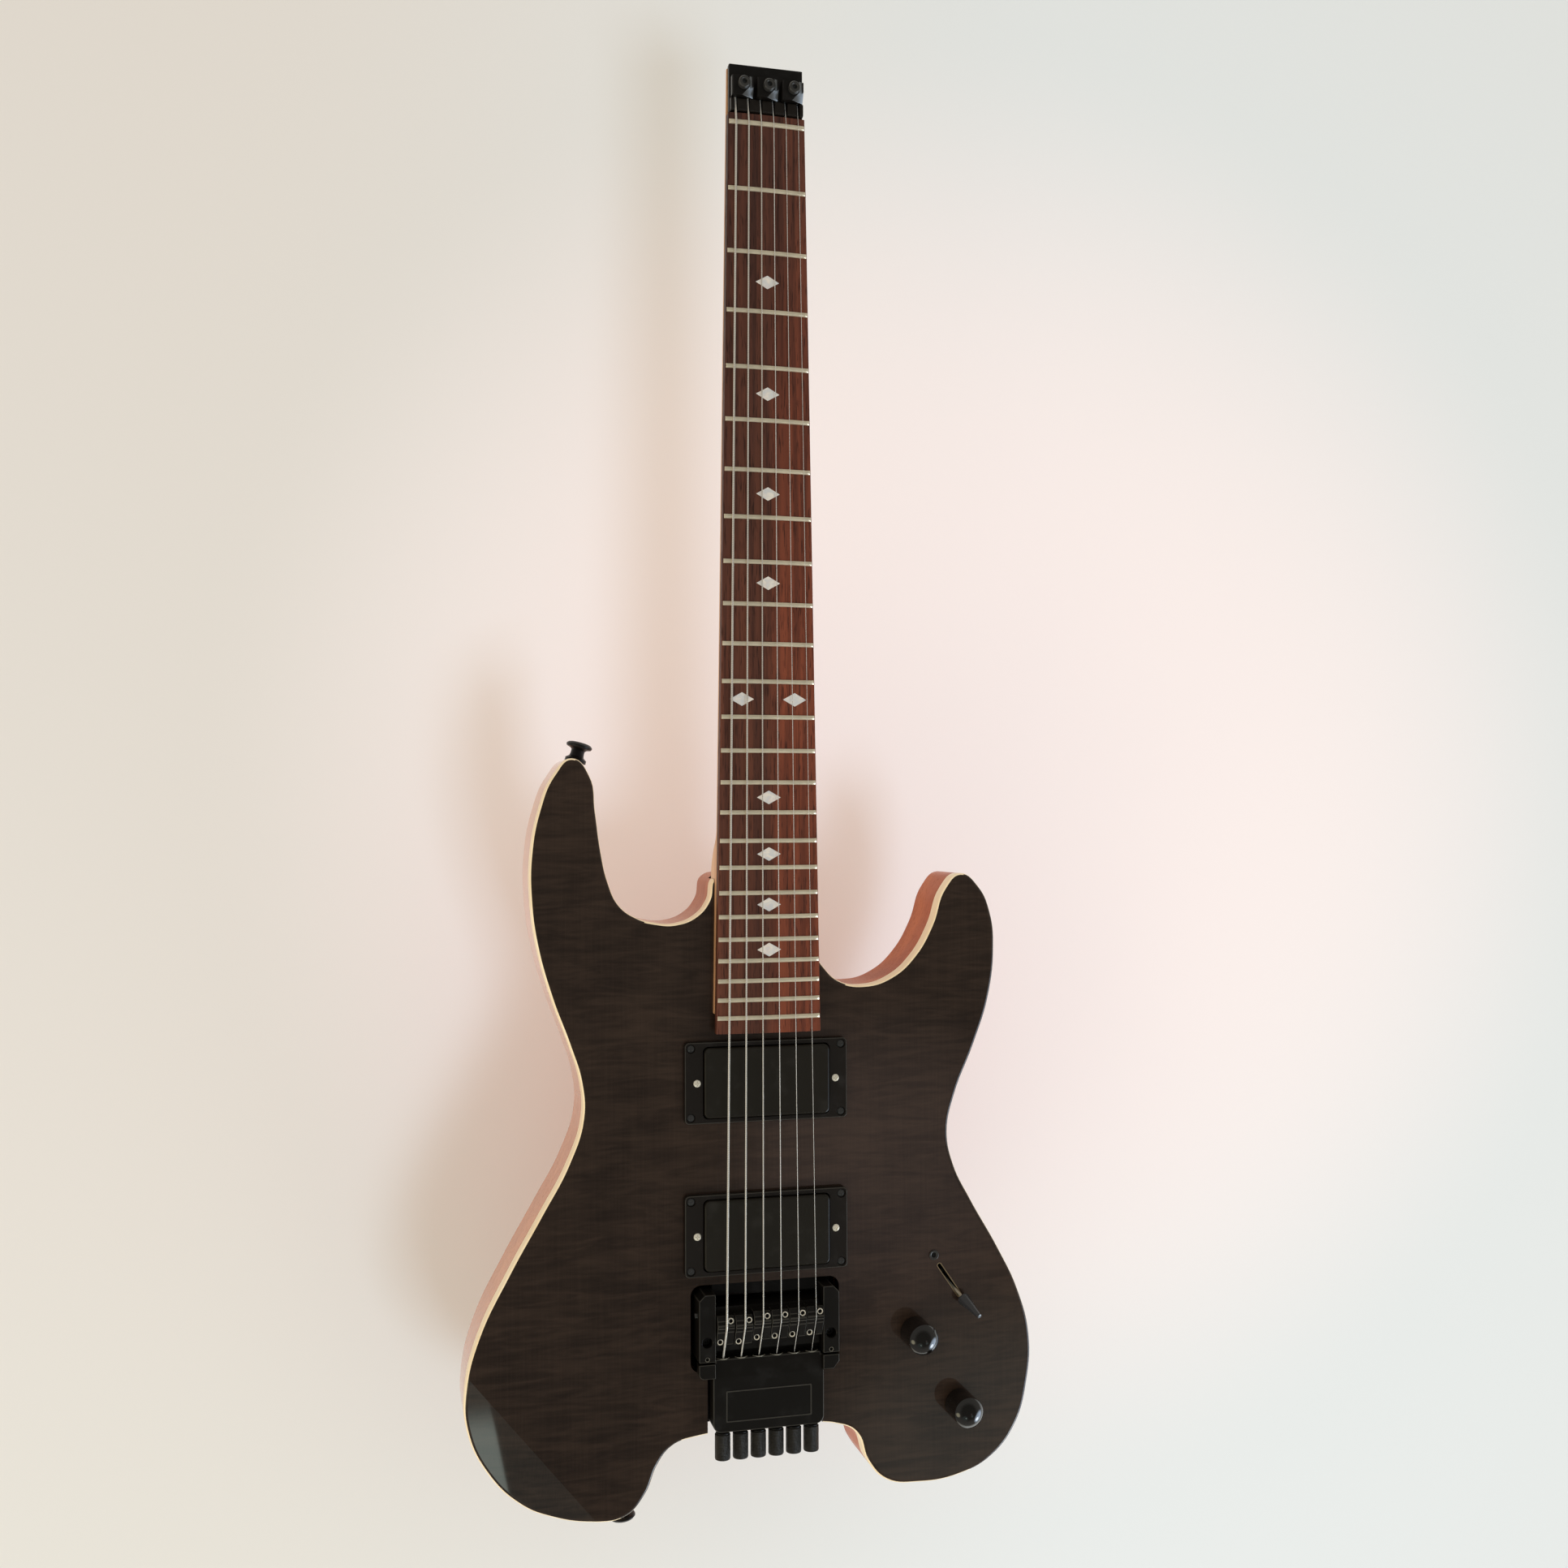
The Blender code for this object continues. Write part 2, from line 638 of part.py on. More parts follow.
def cut_bridge_recess(obj):
    """A deep pocket for the bridge, a shallow step ahead of it and an open channel behind."""
    top = BODY_THICKNESS + CUTTER_MARGIN
    step_half = FRAME_INNER - GAP
    rim = rounded_rectangle((-RECESS_HALF_WIDTH, RECESS_HALF_WIDTH), (RECESS_REAR, RECESS_FRONT),
                            RECESS_CORNER)
    front_corner = len(rim) // 4
    pocket = rim[:front_corner] + [
        (step_half, RECESS_FRONT), (step_half, RECESS_STEP_Y),
        (-step_half, RECESS_STEP_Y), (-step_half, RECESS_FRONT),
    ] + rim[front_corner:]
    cut(obj, plate("recess_cutter_" + obj.name, pocket, RECESS_FLOOR, top))
    cut(obj, box("step_cutter_" + obj.name, (-step_half - GAP, step_half + GAP),
                 (RECESS_STEP_Y - GAP, RECESS_FRONT),
                 (BODY_THICKNESS - RECESS_STEP_DEPTH, top + CUTTER_MARGIN)))
    half = TAIL_HALF_WIDTH + CHANNEL_CLEARANCE
    cut(obj, box("channel_cutter_" + obj.name, (-half, half), (-0.09, RECESS_REAR + 0.01),
                 (RECESS_FLOOR - GAP, top + CUTTER_MARGIN)))


def cut_controls(back, top):
    cavity = plan(CAVITY_OUTLINE_MM)
    through = plate("cavity_cutter", cavity, -CUTTER_MARGIN, BACK_TOP + CUTTER_MARGIN,
                    smooth=True)
    ledge = plate("cover_ledge_cutter", grown(cavity, COVER_LEDGE + GAP),
                  -CUTTER_MARGIN / 2, COVER_THICKNESS + 2 * GAP, smooth=True)
    cut(back, through)
    cut(back, ledge)
    face_x, jack_y = on_body(JACK_FACE_MM)
    seat_x = face_x - JACK_FLANGE - GAP
    outside = face_x + 0.02
    cut(back, cylinder("jack_hole_cutter", JACK_BARREL_RADIUS + GAP,
                       (face_x - JACK_LENGTH - 0.01, jack_y, JACK_Z),
                       (outside, jack_y, JACK_Z)))
    cut(back, cylinder("jack_seat_cutter", JACK_FLANGE_RADIUS + GAP,
                       (seat_x, jack_y, JACK_Z), (outside + 0.01, jack_y, JACK_Z), sides=20))
    for name, place in POT_PLACES_MM.items():
        x, y = on_body(place)
        cut(top, cylinder(name + "_hole_cutter", BUSHING_RADIUS + GAP,
                          (x, y, CAP_BOTTOM - CUTTER_MARGIN),
                          (x, y, BODY_THICKNESS + CUTTER_MARGIN)))
    slot = box("selector_slot_cutter",
               (-SELECTOR_SLOT_LENGTH / 2, SELECTOR_SLOT_LENGTH / 2),
               (-SELECTOR_SLOT_WIDTH / 2, SELECTOR_SLOT_WIDTH / 2),
               (CAP_BOTTOM - CUTTER_MARGIN, BODY_THICKNESS + CUTTER_MARGIN))
    slot.data.transform(selector_placing())
    cut(top, slot)


def selector_placing():
    """Local X runs along the selector's slot."""
    turn = Matrix.Rotation(radians(SELECTOR_DIRECTION), 4, "Z")
    return Matrix.Translation((*on_body(SELECTOR_PLACE_MM), 0)) @ turn


def strap_seat(name, base, height, direction):
    base_point = Vector((*base, height))
    axis = Vector((*direction, 0)).normalized()
    floor = base_point - axis * STRAP_SEAT_DEPTH
    return cylinder(name + "_seat_cutter", STRAP_BASE_RADIUS + GAP, floor,
                    floor + axis * 0.02, sides=20)


def make_strap_buttons():
    for name, (base, height, direction) in STRAP_BUTTONS_MM.items():
        axis = Vector((*direction, 0)).normalized()
        bottom = GAP - STRAP_SEAT_DEPTH
        washer = bottom + 0.0018
        top = STRAP_HEIGHT
        profile = [
            (0.0, top), (STRAP_HEAD_RADIUS * 0.6, top - 0.0004),
            (STRAP_HEAD_RADIUS, top - 0.0020), (STRAP_HEAD_RADIUS, top - 0.0030),
            (STRAP_NECK_RADIUS, top - 0.0040), (STRAP_NECK_RADIUS, washer + 0.0012),
            (STRAP_BASE_RADIUS * 0.9, washer + 0.0006), (STRAP_BASE_RADIUS * 0.9, washer),
            (STRAP_BASE_RADIUS, washer), (STRAP_BASE_RADIUS, bottom), (0.0, bottom),
        ]
        button = turned(name, profile, (*on_body(base), height), axis, steps=16)
        link_part(button, BLACK_METAL)


def neck_ring(y, depth, squareness, steps=14):
    """Half an oval below the flat top; a high squareness gives the heel's box shape."""
    half = board_half_width(y)
    ring = []
    for i in range(steps + 1):
        angle = pi * i / steps
        across = abs(cos(angle)) ** (2 / squareness)
        down = abs(sin(angle)) ** (2 / squareness)
        side = 1 if cos(angle) >= 0 else -1
        ring.append((half * across * side, y, BOARD_BOTTOM - depth * down))
    return ring


def make_neck():
    ramp_start = HEEL_HEAD_Y + HEEL_RAMP
    head = HEAD_END_Y - 0.0012
    rings = []
    plain_stations = 9
    for i in range(plain_stations):
        share = i / (plain_stations - 1)
        y = head + (ramp_start - head) * share
        depth = NECK_DEPTH_AT_NUT + (NECK_DEPTH_AT_HEEL_RAMP - NECK_DEPTH_AT_NUT) * share
        rings.append(neck_ring(y, depth, NECK_SQUARENESS))
    ramp_stations = 4
    for i in range(1, ramp_stations + 1):
        share = i / ramp_stations
        ease = share * share * (3 - 2 * share)
        y = ramp_start + (HEEL_HEAD_Y - ramp_start) * share
        depth = NECK_DEPTH_AT_HEEL_RAMP + (HEEL_DEPTH - NECK_DEPTH_AT_HEEL_RAMP) * ease
        squareness = NECK_SQUARENESS + (HEEL_SQUARENESS - NECK_SQUARENESS) * ease
        rings.append(neck_ring(y, depth, squareness))
    rings.append(neck_ring(HEEL_END_Y, HEEL_DEPTH, HEEL_SQUARENESS))
    neck = loft("neck", rings)
    link_part(neck, PALE_WOOD)
    half = TRUSS_ROD_WIDTH / 2 + GAP
    start = HEEL_END_Y + TRUSS_ROD_START_GAP
    end = SCALE_LENGTH - TRUSS_ROD_END_GAP
    groove = box("truss_groove_cutter", (-half, half), (start - GAP, end + GAP),
                 (BOARD_BOTTOM - TRUSS_ROD_DEPTH - 2 * GAP, BOARD_BOTTOM + CUTTER_MARGIN))
    cut(neck, groove)
    rod = box("truss_rod", (-TRUSS_ROD_WIDTH / 2, TRUSS_ROD_WIDTH / 2), (start, end),
              (BOARD_BOTTOM - TRUSS_ROD_DEPTH - GAP, BOARD_BOTTOM - GAP))
    link_part(round_edges(rod, 0.0008), STEEL)


def board_arc(y, z_centre, half, bottom, steps=4):
    """A closed section across the board: flat below, radiused on top."""
    ring = [(-half, y, bottom), (half, y, bottom)]
    for i in range(steps + 1):
        x = half - 2 * half * i / steps
        ring.append((x, y, z_centre - crown_drop(x)))
    return ring


def make_fretboard():
    stations = 7
    rings = []
    for i in range(stations):
        y = BOARD_HEAD_Y + (BOARD_END_Y - BOARD_HEAD_Y) * i / (stations - 1)
        rings.append(board_arc(y, BOARD_TOP, board_half_width(y), BOARD_BOTTOM + GAP))
    board = loft("fretboard", rings)
    link_part(board, ROSEWOOD)
    frets = [fret_rings(number, FRET_HEIGHT, -FRET_SINK) for number in range(1, FRET_COUNT + 1)]
    join(board, loft("frets", *frets))
    zero = loft("zero_fret", fret_rings(0, ZERO_FRET_HEIGHT, GAP))
    link_part(zero, FRET_METAL)


def fret_rings(number, height, foot_lift, stations=4, arc_steps=4):
    """A fret crown swept across the board, its foot lifted off the wood or sunk into it."""
    y = fret_y(number)
    half = board_half_width(y) - FRET_END_INSET
    rings = []
    for i in range(stations + 1):
        x = -half + 2 * half * i / stations
        end_share = 0.55 if i in (0, stations) else 1.0
        surface = BOARD_TOP - crown_drop(x)
        foot = surface + foot_lift
        ring = [(x, y - FRET_WIDTH / 2, foot)]
        for step in range(arc_steps + 1):
            angle = pi * step / arc_steps
            lift = 0.0003 + (height - 0.0003) * sin(angle) * end_share
            ring.append((x, y - FRET_WIDTH / 2 * cos(angle), surface + max(lift, 2 * GAP)))
        ring.append((x, y + FRET_WIDTH / 2, foot))
        rings.append(ring)
    return rings


def make_headpiece():
    head = box("headpiece", (-HEAD_HALF_WIDTH, HEAD_HALF_WIDTH), (HEAD_START_Y, HEAD_END_Y),
               (HEAD_BOTTOM, HEAD_TOP))
    round_edges(head, 0.0006, segments=1)
    link_part(head, BLACK_METAL)
    comb_half = HEAD_HALF_WIDTH - COMB_INSET
    comb_top = HEAD_TOP + COMB_HEIGHT
    join(head, box("comb", (-comb_half, comb_half),
                   (HEAD_START_Y + GAP, HEAD_START_Y + COMB_LENGTH),
                   (HEAD_BOTTOM + 0.001, comb_top)))
    for index in range(STRING_COUNT):
        x = string_x(index, SCALE_LENGTH)
        half = COMB_SLOT_WIDTH / 2
        cut(head, box("comb_slot_%d" % index, (x - half, x + half),
                      (HEAD_START_Y - 0.002, HEAD_START_Y + COMB_LENGTH + 0.002),
                      (HEAD_TOP - GAP, comb_top + 0.002)))
    clamp_count = STRING_COUNT // STRINGS_PER_CLAMP
    pitch = STRINGS_PER_CLAMP * NUT_STRING_PITCH
    screw_y = CLAMP_FRONT_Y + CLAMP_LENGTH * CLAMP_SCREW_SHARE
    hole = CLAMP_SCREW_RADIUS + GAP
    for i in range(clamp_count):
        x = (i - (clamp_count - 1) / 2) * pitch
        cut(head, cylinder("clamp_thread_cutter_%d" % i, hole,
                           (x, screw_y, HEAD_BOTTOM - 0.002), (x, screw_y, HEAD_TOP + 0.002)))
        block = make_clamp_block("clamp_block_%d" % (i + 1), x)
        cut(block, cylinder("clamp_hole_cutter_%d" % i, hole, (x, screw_y, CLAMP_BOTTOM - 0.002),
                            (x, screw_y, CLAMP_TOP + 0.002)))
        make_clamp_screw("clamp_screw_%d" % (i + 1), x, screw_y)


def make_clamp_block(name, x):
    """A block whose treble side slopes down beside the screw."""
    left = x - CLAMP_WIDTH / 2
    right = x + CLAMP_WIDTH / 2
    edge = 0.0008
    profile = [
        (left, CLAMP_BOTTOM), (right, CLAMP_BOTTOM), (right, CLAMP_TOP - CLAMP_SLOPE_DROP),
        (right - CLAMP_SLOPE_WIDTH, CLAMP_TOP), (left + edge, CLAMP_TOP),
        (left, CLAMP_TOP - edge),
    ]
    block = plate(name, profile, -CLAMP_FRONT_Y - CLAMP_LENGTH, -CLAMP_FRONT_Y)
    turn = Matrix(((1, 0, 0, 0), (0, 0, -1, 0), (0, 1, 0, 0), (0, 0, 0, 1)))
    block.data.transform(turn @ block.matrix_world)
    block.matrix_world = Matrix.Identity(4)
    return link_part(round_edges(block, 0.0005, segments=1), BLACK_METAL)


def make_clamp_screw(name, x, y):
    head_bottom = CLAMP_TOP + GAP
    head_top = head_bottom + CLAMP_HEAD_HEIGHT
    socket_floor = head_top - 0.0018
    profile = [
        (0.0, socket_floor), (CLAMP_SOCKET_RADIUS, socket_floor),
        (CLAMP_SOCKET_RADIUS, head_top), (CLAMP_HEAD_RADIUS - 0.0003, head_top),
        (CLAMP_HEAD_RADIUS, head_top - 0.0003), (CLAMP_HEAD_RADIUS, head_bottom),
        (CLAMP_SCREW_RADIUS, head_bottom), (CLAMP_SCREW_RADIUS, HEAD_BOTTOM),
        (0.0, HEAD_BOTTOM),
    ]
    link_part(turned(name, profile, (x, y, 0.0), steps=16), BLACK_METAL)


def make_strings():
    for index in range(STRING_COUNT):
        number = STRING_COUNT - index
        radius = STRING_RADII[index]
        x_nut = string_x(index, SCALE_LENGTH)
        x_saddle = string_x(index, 0.0)
        clamp_z = HEAD_TOP + GAP + radius
        saddle_y = -SADDLE_SETBACK[index]
        points = [
            (x_nut, CLAMP_FRONT_Y + CLAMP_LENGTH - 0.001, clamp_z),
            (x_nut, CLAMP_FRONT_Y, clamp_z + 0.0001),
            (x_nut, SCALE_LENGTH, string_z_at_zero_fret(index)),
            (x_saddle, saddle_y, string_z_at_saddle(index)),
            (x_saddle, TAIL_FRONT, TAIL_STRING_Z),
            (x_saddle, TAIL_FRONT - JAW_FRONT_GAP + GAP + radius, BORE_Z + BORE_RADIUS * 0.2),
        ]
        link_part(wire("string_%d" % number, points, radius), STEEL)


def make_pickups():
    for name, y in PICKUP_PLACES.items():
        half = RING_LENGTH / 2
        ring = plate(name + "_ring",
                     rounded_rectangle((-half, half), (y - RING_WIDTH / 2, y + RING_WIDTH / 2),
                                       RING_CORNER),
                     BODY_THICKNESS + GAP, BODY_THICKNESS + GAP + RING_HEIGHT)
        round_edges(ring, 0.0007, segments=1)
        link_part(ring, BLACK_PLASTIC)
        opening_length = PICKUP_LENGTH / 2 + PICKUP_CLEARANCE
        opening_width = PICKUP_WIDTH / 2 + PICKUP_CLEARANCE
        cut(ring, plate(name + "_opening",
                        rounded_rectangle((-opening_length, opening_length),
                                          (y - opening_width, y + opening_width),
                                          PICKUP_CORNER),
                        BODY_THICKNESS - CUTTER_MARGIN,
                        BODY_THICKNESS + RING_HEIGHT + CUTTER_MARGIN))
        cover = plate(name,
                      rounded_rectangle((-PICKUP_LENGTH / 2, PICKUP_LENGTH / 2),
                                        (y - PICKUP_WIDTH / 2, y + PICKUP_WIDTH / 2),
                                        PICKUP_CORNER),
                      PICKUP_BOTTOM, PICKUP_TOP)
        round_edges(cover, 0.0010, segments=2)
        link_part(cover, BLACK_PLASTIC)
        leg = PICKUP_LEG_LENGTH / 2
        join(cover, box(name + "_legs", (-leg, leg),
                        (y - PICKUP_LEG_WIDTH / 2, y + PICKUP_LEG_WIDTH / 2),
                        (PICKUP_BOTTOM + 0.0015, PICKUP_BOTTOM + 0.0015 + PICKUP_LEG_THICKNESS)))


def make_bridge_frame():
    """Two rails on a base plate that stops short of the body's step."""
    chamfer = FRAME_CHAMFER
    base_front = RECESS_STEP_Y - FRAME_STEP_GAP
    outline = [
        (-FRAME_OUTER, FRAME_REAR), (FRAME_OUTER, FRAME_REAR),
        (FRAME_OUTER, FRAME_FRONT - chamfer), (FRAME_OUTER - chamfer, FRAME_FRONT),
        (FRAME_INNER, FRAME_FRONT), (FRAME_INNER, base_front), (-FRAME_INNER, base_front),
        (-FRAME_INNER, FRAME_FRONT), (-FRAME_OUTER + chamfer, FRAME_FRONT),
        (-FRAME_OUTER, FRAME_FRONT - chamfer),
    ]
    frame = plate("bridge_frame", outline, FRAME_BOTTOM, FRAME_TOP)
    link_part(frame, BLACK_METAL)
    floor = FRAME_BOTTOM + FRAME_BASE
    wall_front = SPRING_WALL_Y + SPRING_WALL_THICKNESS
    channel = [
        (base_front + 0.01, FRAME_TOP + 0.01), (FRAME_REAR - 0.01, FRAME_TOP + 0.01),
        (FRAME_REAR - 0.01, floor), (SPRING_WALL_Y, floor),
        (SPRING_WALL_Y, floor + SPRING_WALL_HEIGHT), (wall_front, floor + SPRING_WALL_HEIGHT),
        (wall_front, floor), (base_front + 0.01, floor),
    ]
    cut(frame, side_profile("frame_channel", channel, (-FRAME_INNER, FRAME_INNER)))
    middle = (FRAME_INNER + FRAME_OUTER) / 2
    for side, label in ((-1, "bass"), (1, "treble")):
        x = side * middle
        cut(frame, cylinder("frame_hole_" + label, FRAME_HOLE_RADIUS,
                            (x, FRAME_HOLE_Y, FRAME_TOP - FRAME_HOLE_DEPTH),
                            (x, FRAME_HOLE_Y, FRAME_TOP + 0.01)))
        cut(frame, cylinder("frame_pin_hole_" + label, PIVOT_RADIUS + GAP,
                            (side * (FRAME_INNER - 0.002), PIVOT_Y, PIVOT_Z),
                            (side * (FRAME_OUTER + 0.002), PIVOT_Y, PIVOT_Z), sides=12))
        inner = FRAME_INNER - CARRIAGE_CLEARANCE - PIVOT_DEPTH + GAP
        pin = cylinder("pivot_pin_" + label, PIVOT_RADIUS, (side * inner, PIVOT_Y, PIVOT_Z),
                       (side * (FRAME_OUTER + PIVOT_PROUD), PIVOT_Y, PIVOT_Z), sides=12)
        link_part(pin, STEEL)


def make_carriage():
    half = FRAME_INNER - CARRIAGE_CLEARANCE
    leg_rear = CARRIAGE_FRONT - CARRIAGE_LEG_THICKNESS
    profile = [
        (CARRIAGE_FRONT, CARRIAGE_LEG_BOTTOM), (CARRIAGE_FRONT, CARRIAGE_PLATE_TOP),
        (CARRIAGE_PLATE_REAR, CARRIAGE_PLATE_TOP), (CARRIAGE_PLATE_REAR, TAIL_WEB_TOP),
        (TAIL_FRONT - 0.002, TAIL_WEB_TOP), (TAIL_FRONT - 0.002, TAIL_BOTTOM + 0.0005),
        (CARRIAGE_PLATE_REAR + 0.004, TAIL_BOTTOM + 0.0005),
        (CARRIAGE_PLATE_REAR + 0.009, CARRIAGE_PLATE_BOTTOM),
        (leg_rear, CARRIAGE_PLATE_BOTTOM), (leg_rear, CARRIAGE_LEG_BOTTOM),
    ]
    carriage = side_profile("tail_block", profile, (-half, half))
    link_part(carriage, BLACK_METAL)
    wide = TAIL_HALF_WIDTH
    ear_front = FRAME_REAR - TAIL_EAR_FRONT_GAP
    rim = rounded_rectangle((-wide, wide), (TAIL_REAR, ear_front), TAIL_CORNER)
    rear_corners = rim[len(rim) // 2:]
    block_outline = [
        (wide, ear_front), (half, ear_front), (half, TAIL_FRONT), (-half, TAIL_FRONT),
        (-half, ear_front), (-wide, ear_front),
    ] + rear_corners
    block = plate("tail_casting", block_outline, TAIL_BOTTOM, TAIL_TOP)
    round_edges(block, 0.0007, segments=1)
    join(carriage, block)
    above = TAIL_TOP + CUTTER_MARGIN
    ahead = TAIL_FRONT + 0.001
    slope = TAIL_FRONT_DROP / (TAIL_FRONT - TAIL_CREASE_Y)
    crease = [
        (TAIL_CREASE_Y, above), (TAIL_CREASE_Y, TAIL_TOP),
        (ahead, TAIL_TOP - slope * (ahead - TAIL_CREASE_Y)), (ahead, above),
    ]
    cut(carriage, side_profile("tail_front_slope", crease, (-wide - 0.001, wide + 0.001)))
    for side, label in ((-1, "bass"), (1, "treble")):
        join(carriage, tail_ear(side, label, ear_front))
    for index in range(STRING_COUNT):
        x = string_x(index, 0.0)
        cut(carriage, cylinder("jaw_bore_%d" % index, BORE_RADIUS,
                               (x, TAIL_FRONT + 0.0023, BORE_Z),
                               (x, TAIL_REAR + BORE_REAR_WALL, BORE_Z), sides=14))
        cut(carriage, cylinder("rod_hole_%d" % index, ROD_RADIUS + ROD_CLEARANCE,
                               (x, TAIL_REAR + BORE_REAR_WALL + 0.002, BORE_Z),
                               (x, TAIL_REAR - 0.002, BORE_Z), sides=12))
    for side, label in ((-1, "bass"), (1, "treble")):
        cut(carriage, cylinder("pin_socket_" + label, PIVOT_RADIUS + GAP,
                               (side * (half - PIVOT_DEPTH), PIVOT_Y, PIVOT_Z),
                               (side * (half + 0.002), PIVOT_Y, PIVOT_Z), sides=12))


def tail_ear(side, label, front):
    """A raised ear behind each rail: rounded on the bass side, chamfered on the treble side."""
    inner = side * TAIL_EAR_INNER
    outer = side * TAIL_EAR_OUTER
    if side < 0:
        radius = TAIL_EAR_CORNER
        steps = 3
        corner = []
        for step in range(steps + 1):
            angle = pi / 2 * step / steps
            corner.append((outer + radius - radius * cos(angle),
                           TAIL_EAR_REAR + radius - radius * sin(angle)))
    else:
        across, along = TAIL_EAR_CHAMFER
        corner = [(outer, TAIL_EAR_REAR + along), (outer - across, TAIL_EAR_REAR)]
    outline = [(inner, front), (outer, front)] + corner + [(inner, TAIL_EAR_REAR)]
    return plate("tail_ear_" + label, outline, TAIL_EAR_BOTTOM, TAIL_EAR_TOP)


def make_tremolo_springs():
    """Compression coils, from the frame's wall to the carriage leg."""
    start = SPRING_WALL_Y + SPRING_WALL_THICKNESS + GAP + SPRING_WIRE_RADIUS
    end = CARRIAGE_FRONT - CARRIAGE_LEG_THICKNESS - GAP - SPRING_WIRE_RADIUS
    total = SPRING_TURNS * SPRING_POINTS_PER_TURN
    rest = end - start
    for number in range(SPRING_COUNT):
        middle = (number - (SPRING_COUNT - 1) / 2) * SPRING_SPACING
        points = []
        for i in range(total + 1):
            angle = 2 * pi * i / SPRING_POINTS_PER_TURN
            points.append((middle + SPRING_COIL_RADIUS * cos(angle), start + rest * i / total,
                           SPRING_Z + SPRING_COIL_RADIUS * sin(angle)))
        label = "bass" if middle < 0 else "treble"
        link_part(wire("tremolo_spring_" + label, points, SPRING_WIRE_RADIUS), STEEL)
        if number == 0:
            least = rest / SPRING_TURNS - 2 * SPRING_WIRE_RADIUS
            print("least gap between spring turns: %.2f mm" % (least / MM))


def make_tuners():
    for index in range(STRING_COUNT):
        number = STRING_COUNT - index
        x = string_x(index, 0.0)
        knob_front = TAIL_REAR - KNOB_GAP
        knob_rear = knob_front - KNOB_LENGTH
        jaw_front = TAIL_FRONT - JAW_FRONT_GAP
        rod_tip = jaw_front - JAW_FRONT_WALL - ROD_TIP_GAP
        bevel = 0.0005
        profile = [
            (0.0, rod_tip), (ROD_RADIUS, rod_tip), (ROD_RADIUS, knob_front),
            (KNOB_RADIUS - bevel, knob_front), (KNOB_RADIUS, knob_front - bevel),
            (KNOB_RADIUS, knob_rear + 2 * bevel), (KNOB_RADIUS - 2 * bevel, knob_rear),
            (0.0, knob_rear),
        ]
        knob = turned("tuning_knob_%d" % number, profile, (x, 0.0, BORE_Z), (0, 1, 0), steps=20)
        link_part(knob, BLACK_METAL)
        outer = BORE_RADIUS - JAW_CLEARANCE
        inner = ROD_RADIUS + ROD_CLEARANCE
        jaw_rear = jaw_front - JAW_LENGTH
        sleeve = [
            (0.0, jaw_front), (outer - 0.0004, jaw_front), (outer, jaw_front - 0.0004),
            (outer, jaw_rear), (inner, jaw_rear), (inner, jaw_front - JAW_FRONT_WALL),
            (0.0, jaw_front - JAW_FRONT_WALL),
        ]
        jaw = turned("string_jaw_%d" % number, sleeve, (x, 0.0, BORE_Z), (0, 1, 0), steps=14)
        link_part(jaw, STEEL)


def make_saddles():
    for index in range(STRING_COUNT):
        number = STRING_COUNT - index
        x = string_x(index, 0.0)
        shift = -SADDLE_SETBACK[index]
        bottom = CARRIAGE_PLATE_TOP + GAP
        ridge = string_z_at_saddle(index) - STRING_RADII[index] - GAP
        shoulder = ridge - SADDLE_SHOULDER
        rear_drop = 0.0026
        profile = [
            (SADDLE_FRONT + shift, bottom), (SADDLE_FRONT + shift, shoulder),
            (SADDLE_FRONT * 0.55 + shift, ridge - 0.0008), (shift + 0.0006, ridge),
            (shift - 0.0006, ridge), (SADDLE_REAR * 0.25 + shift, ridge - 0.0012),
            (SADDLE_REAR + shift, shoulder - rear_drop + 0.001),
            (SADDLE_REAR + shift, bottom),
        ]
        half = SADDLE_WIDTH / 2
        saddle = side_profile("saddle_%d" % number, profile, (x - half, x + half))
        link_part(saddle, BLACK_METAL)
        rear = SADDLE_REAR + shift - 0.002
        slope = (string_z_at_saddle(index) - TAIL_STRING_Z) / (shift - TAIL_FRONT)
        floor = ridge - slope * (shift - rear) - 0.0003
        groove = side_profile(
            "saddle_groove_%d" % number,
            [(rear, floor), (rear, ridge + 0.002), (shift - 0.0007, ridge + 0.002),
             (shift - 0.0007, ridge - 0.0007)],
            (x - SADDLE_GROOVE_WIDTH / 2, x + SADDLE_GROOVE_WIDTH / 2))
        cut(saddle, groove)
        for screw_y, side in ((SADDLE_FRONT * 0.55, 1), (SADDLE_REAR * 0.80, -1)):
            screw_x = x + side * SADDLE_SCREW_OFFSET
            cut(saddle, cylinder(
                "saddle_screw_%d_%s" % (number, "front" if side > 0 else "rear"),
                SADDLE_SCREW_RADIUS, (screw_x, screw_y + shift, shoulder - SADDLE_SCREW_DEPTH),
                (screw_x, screw_y + shift, ridge + 0.002), sides=10))


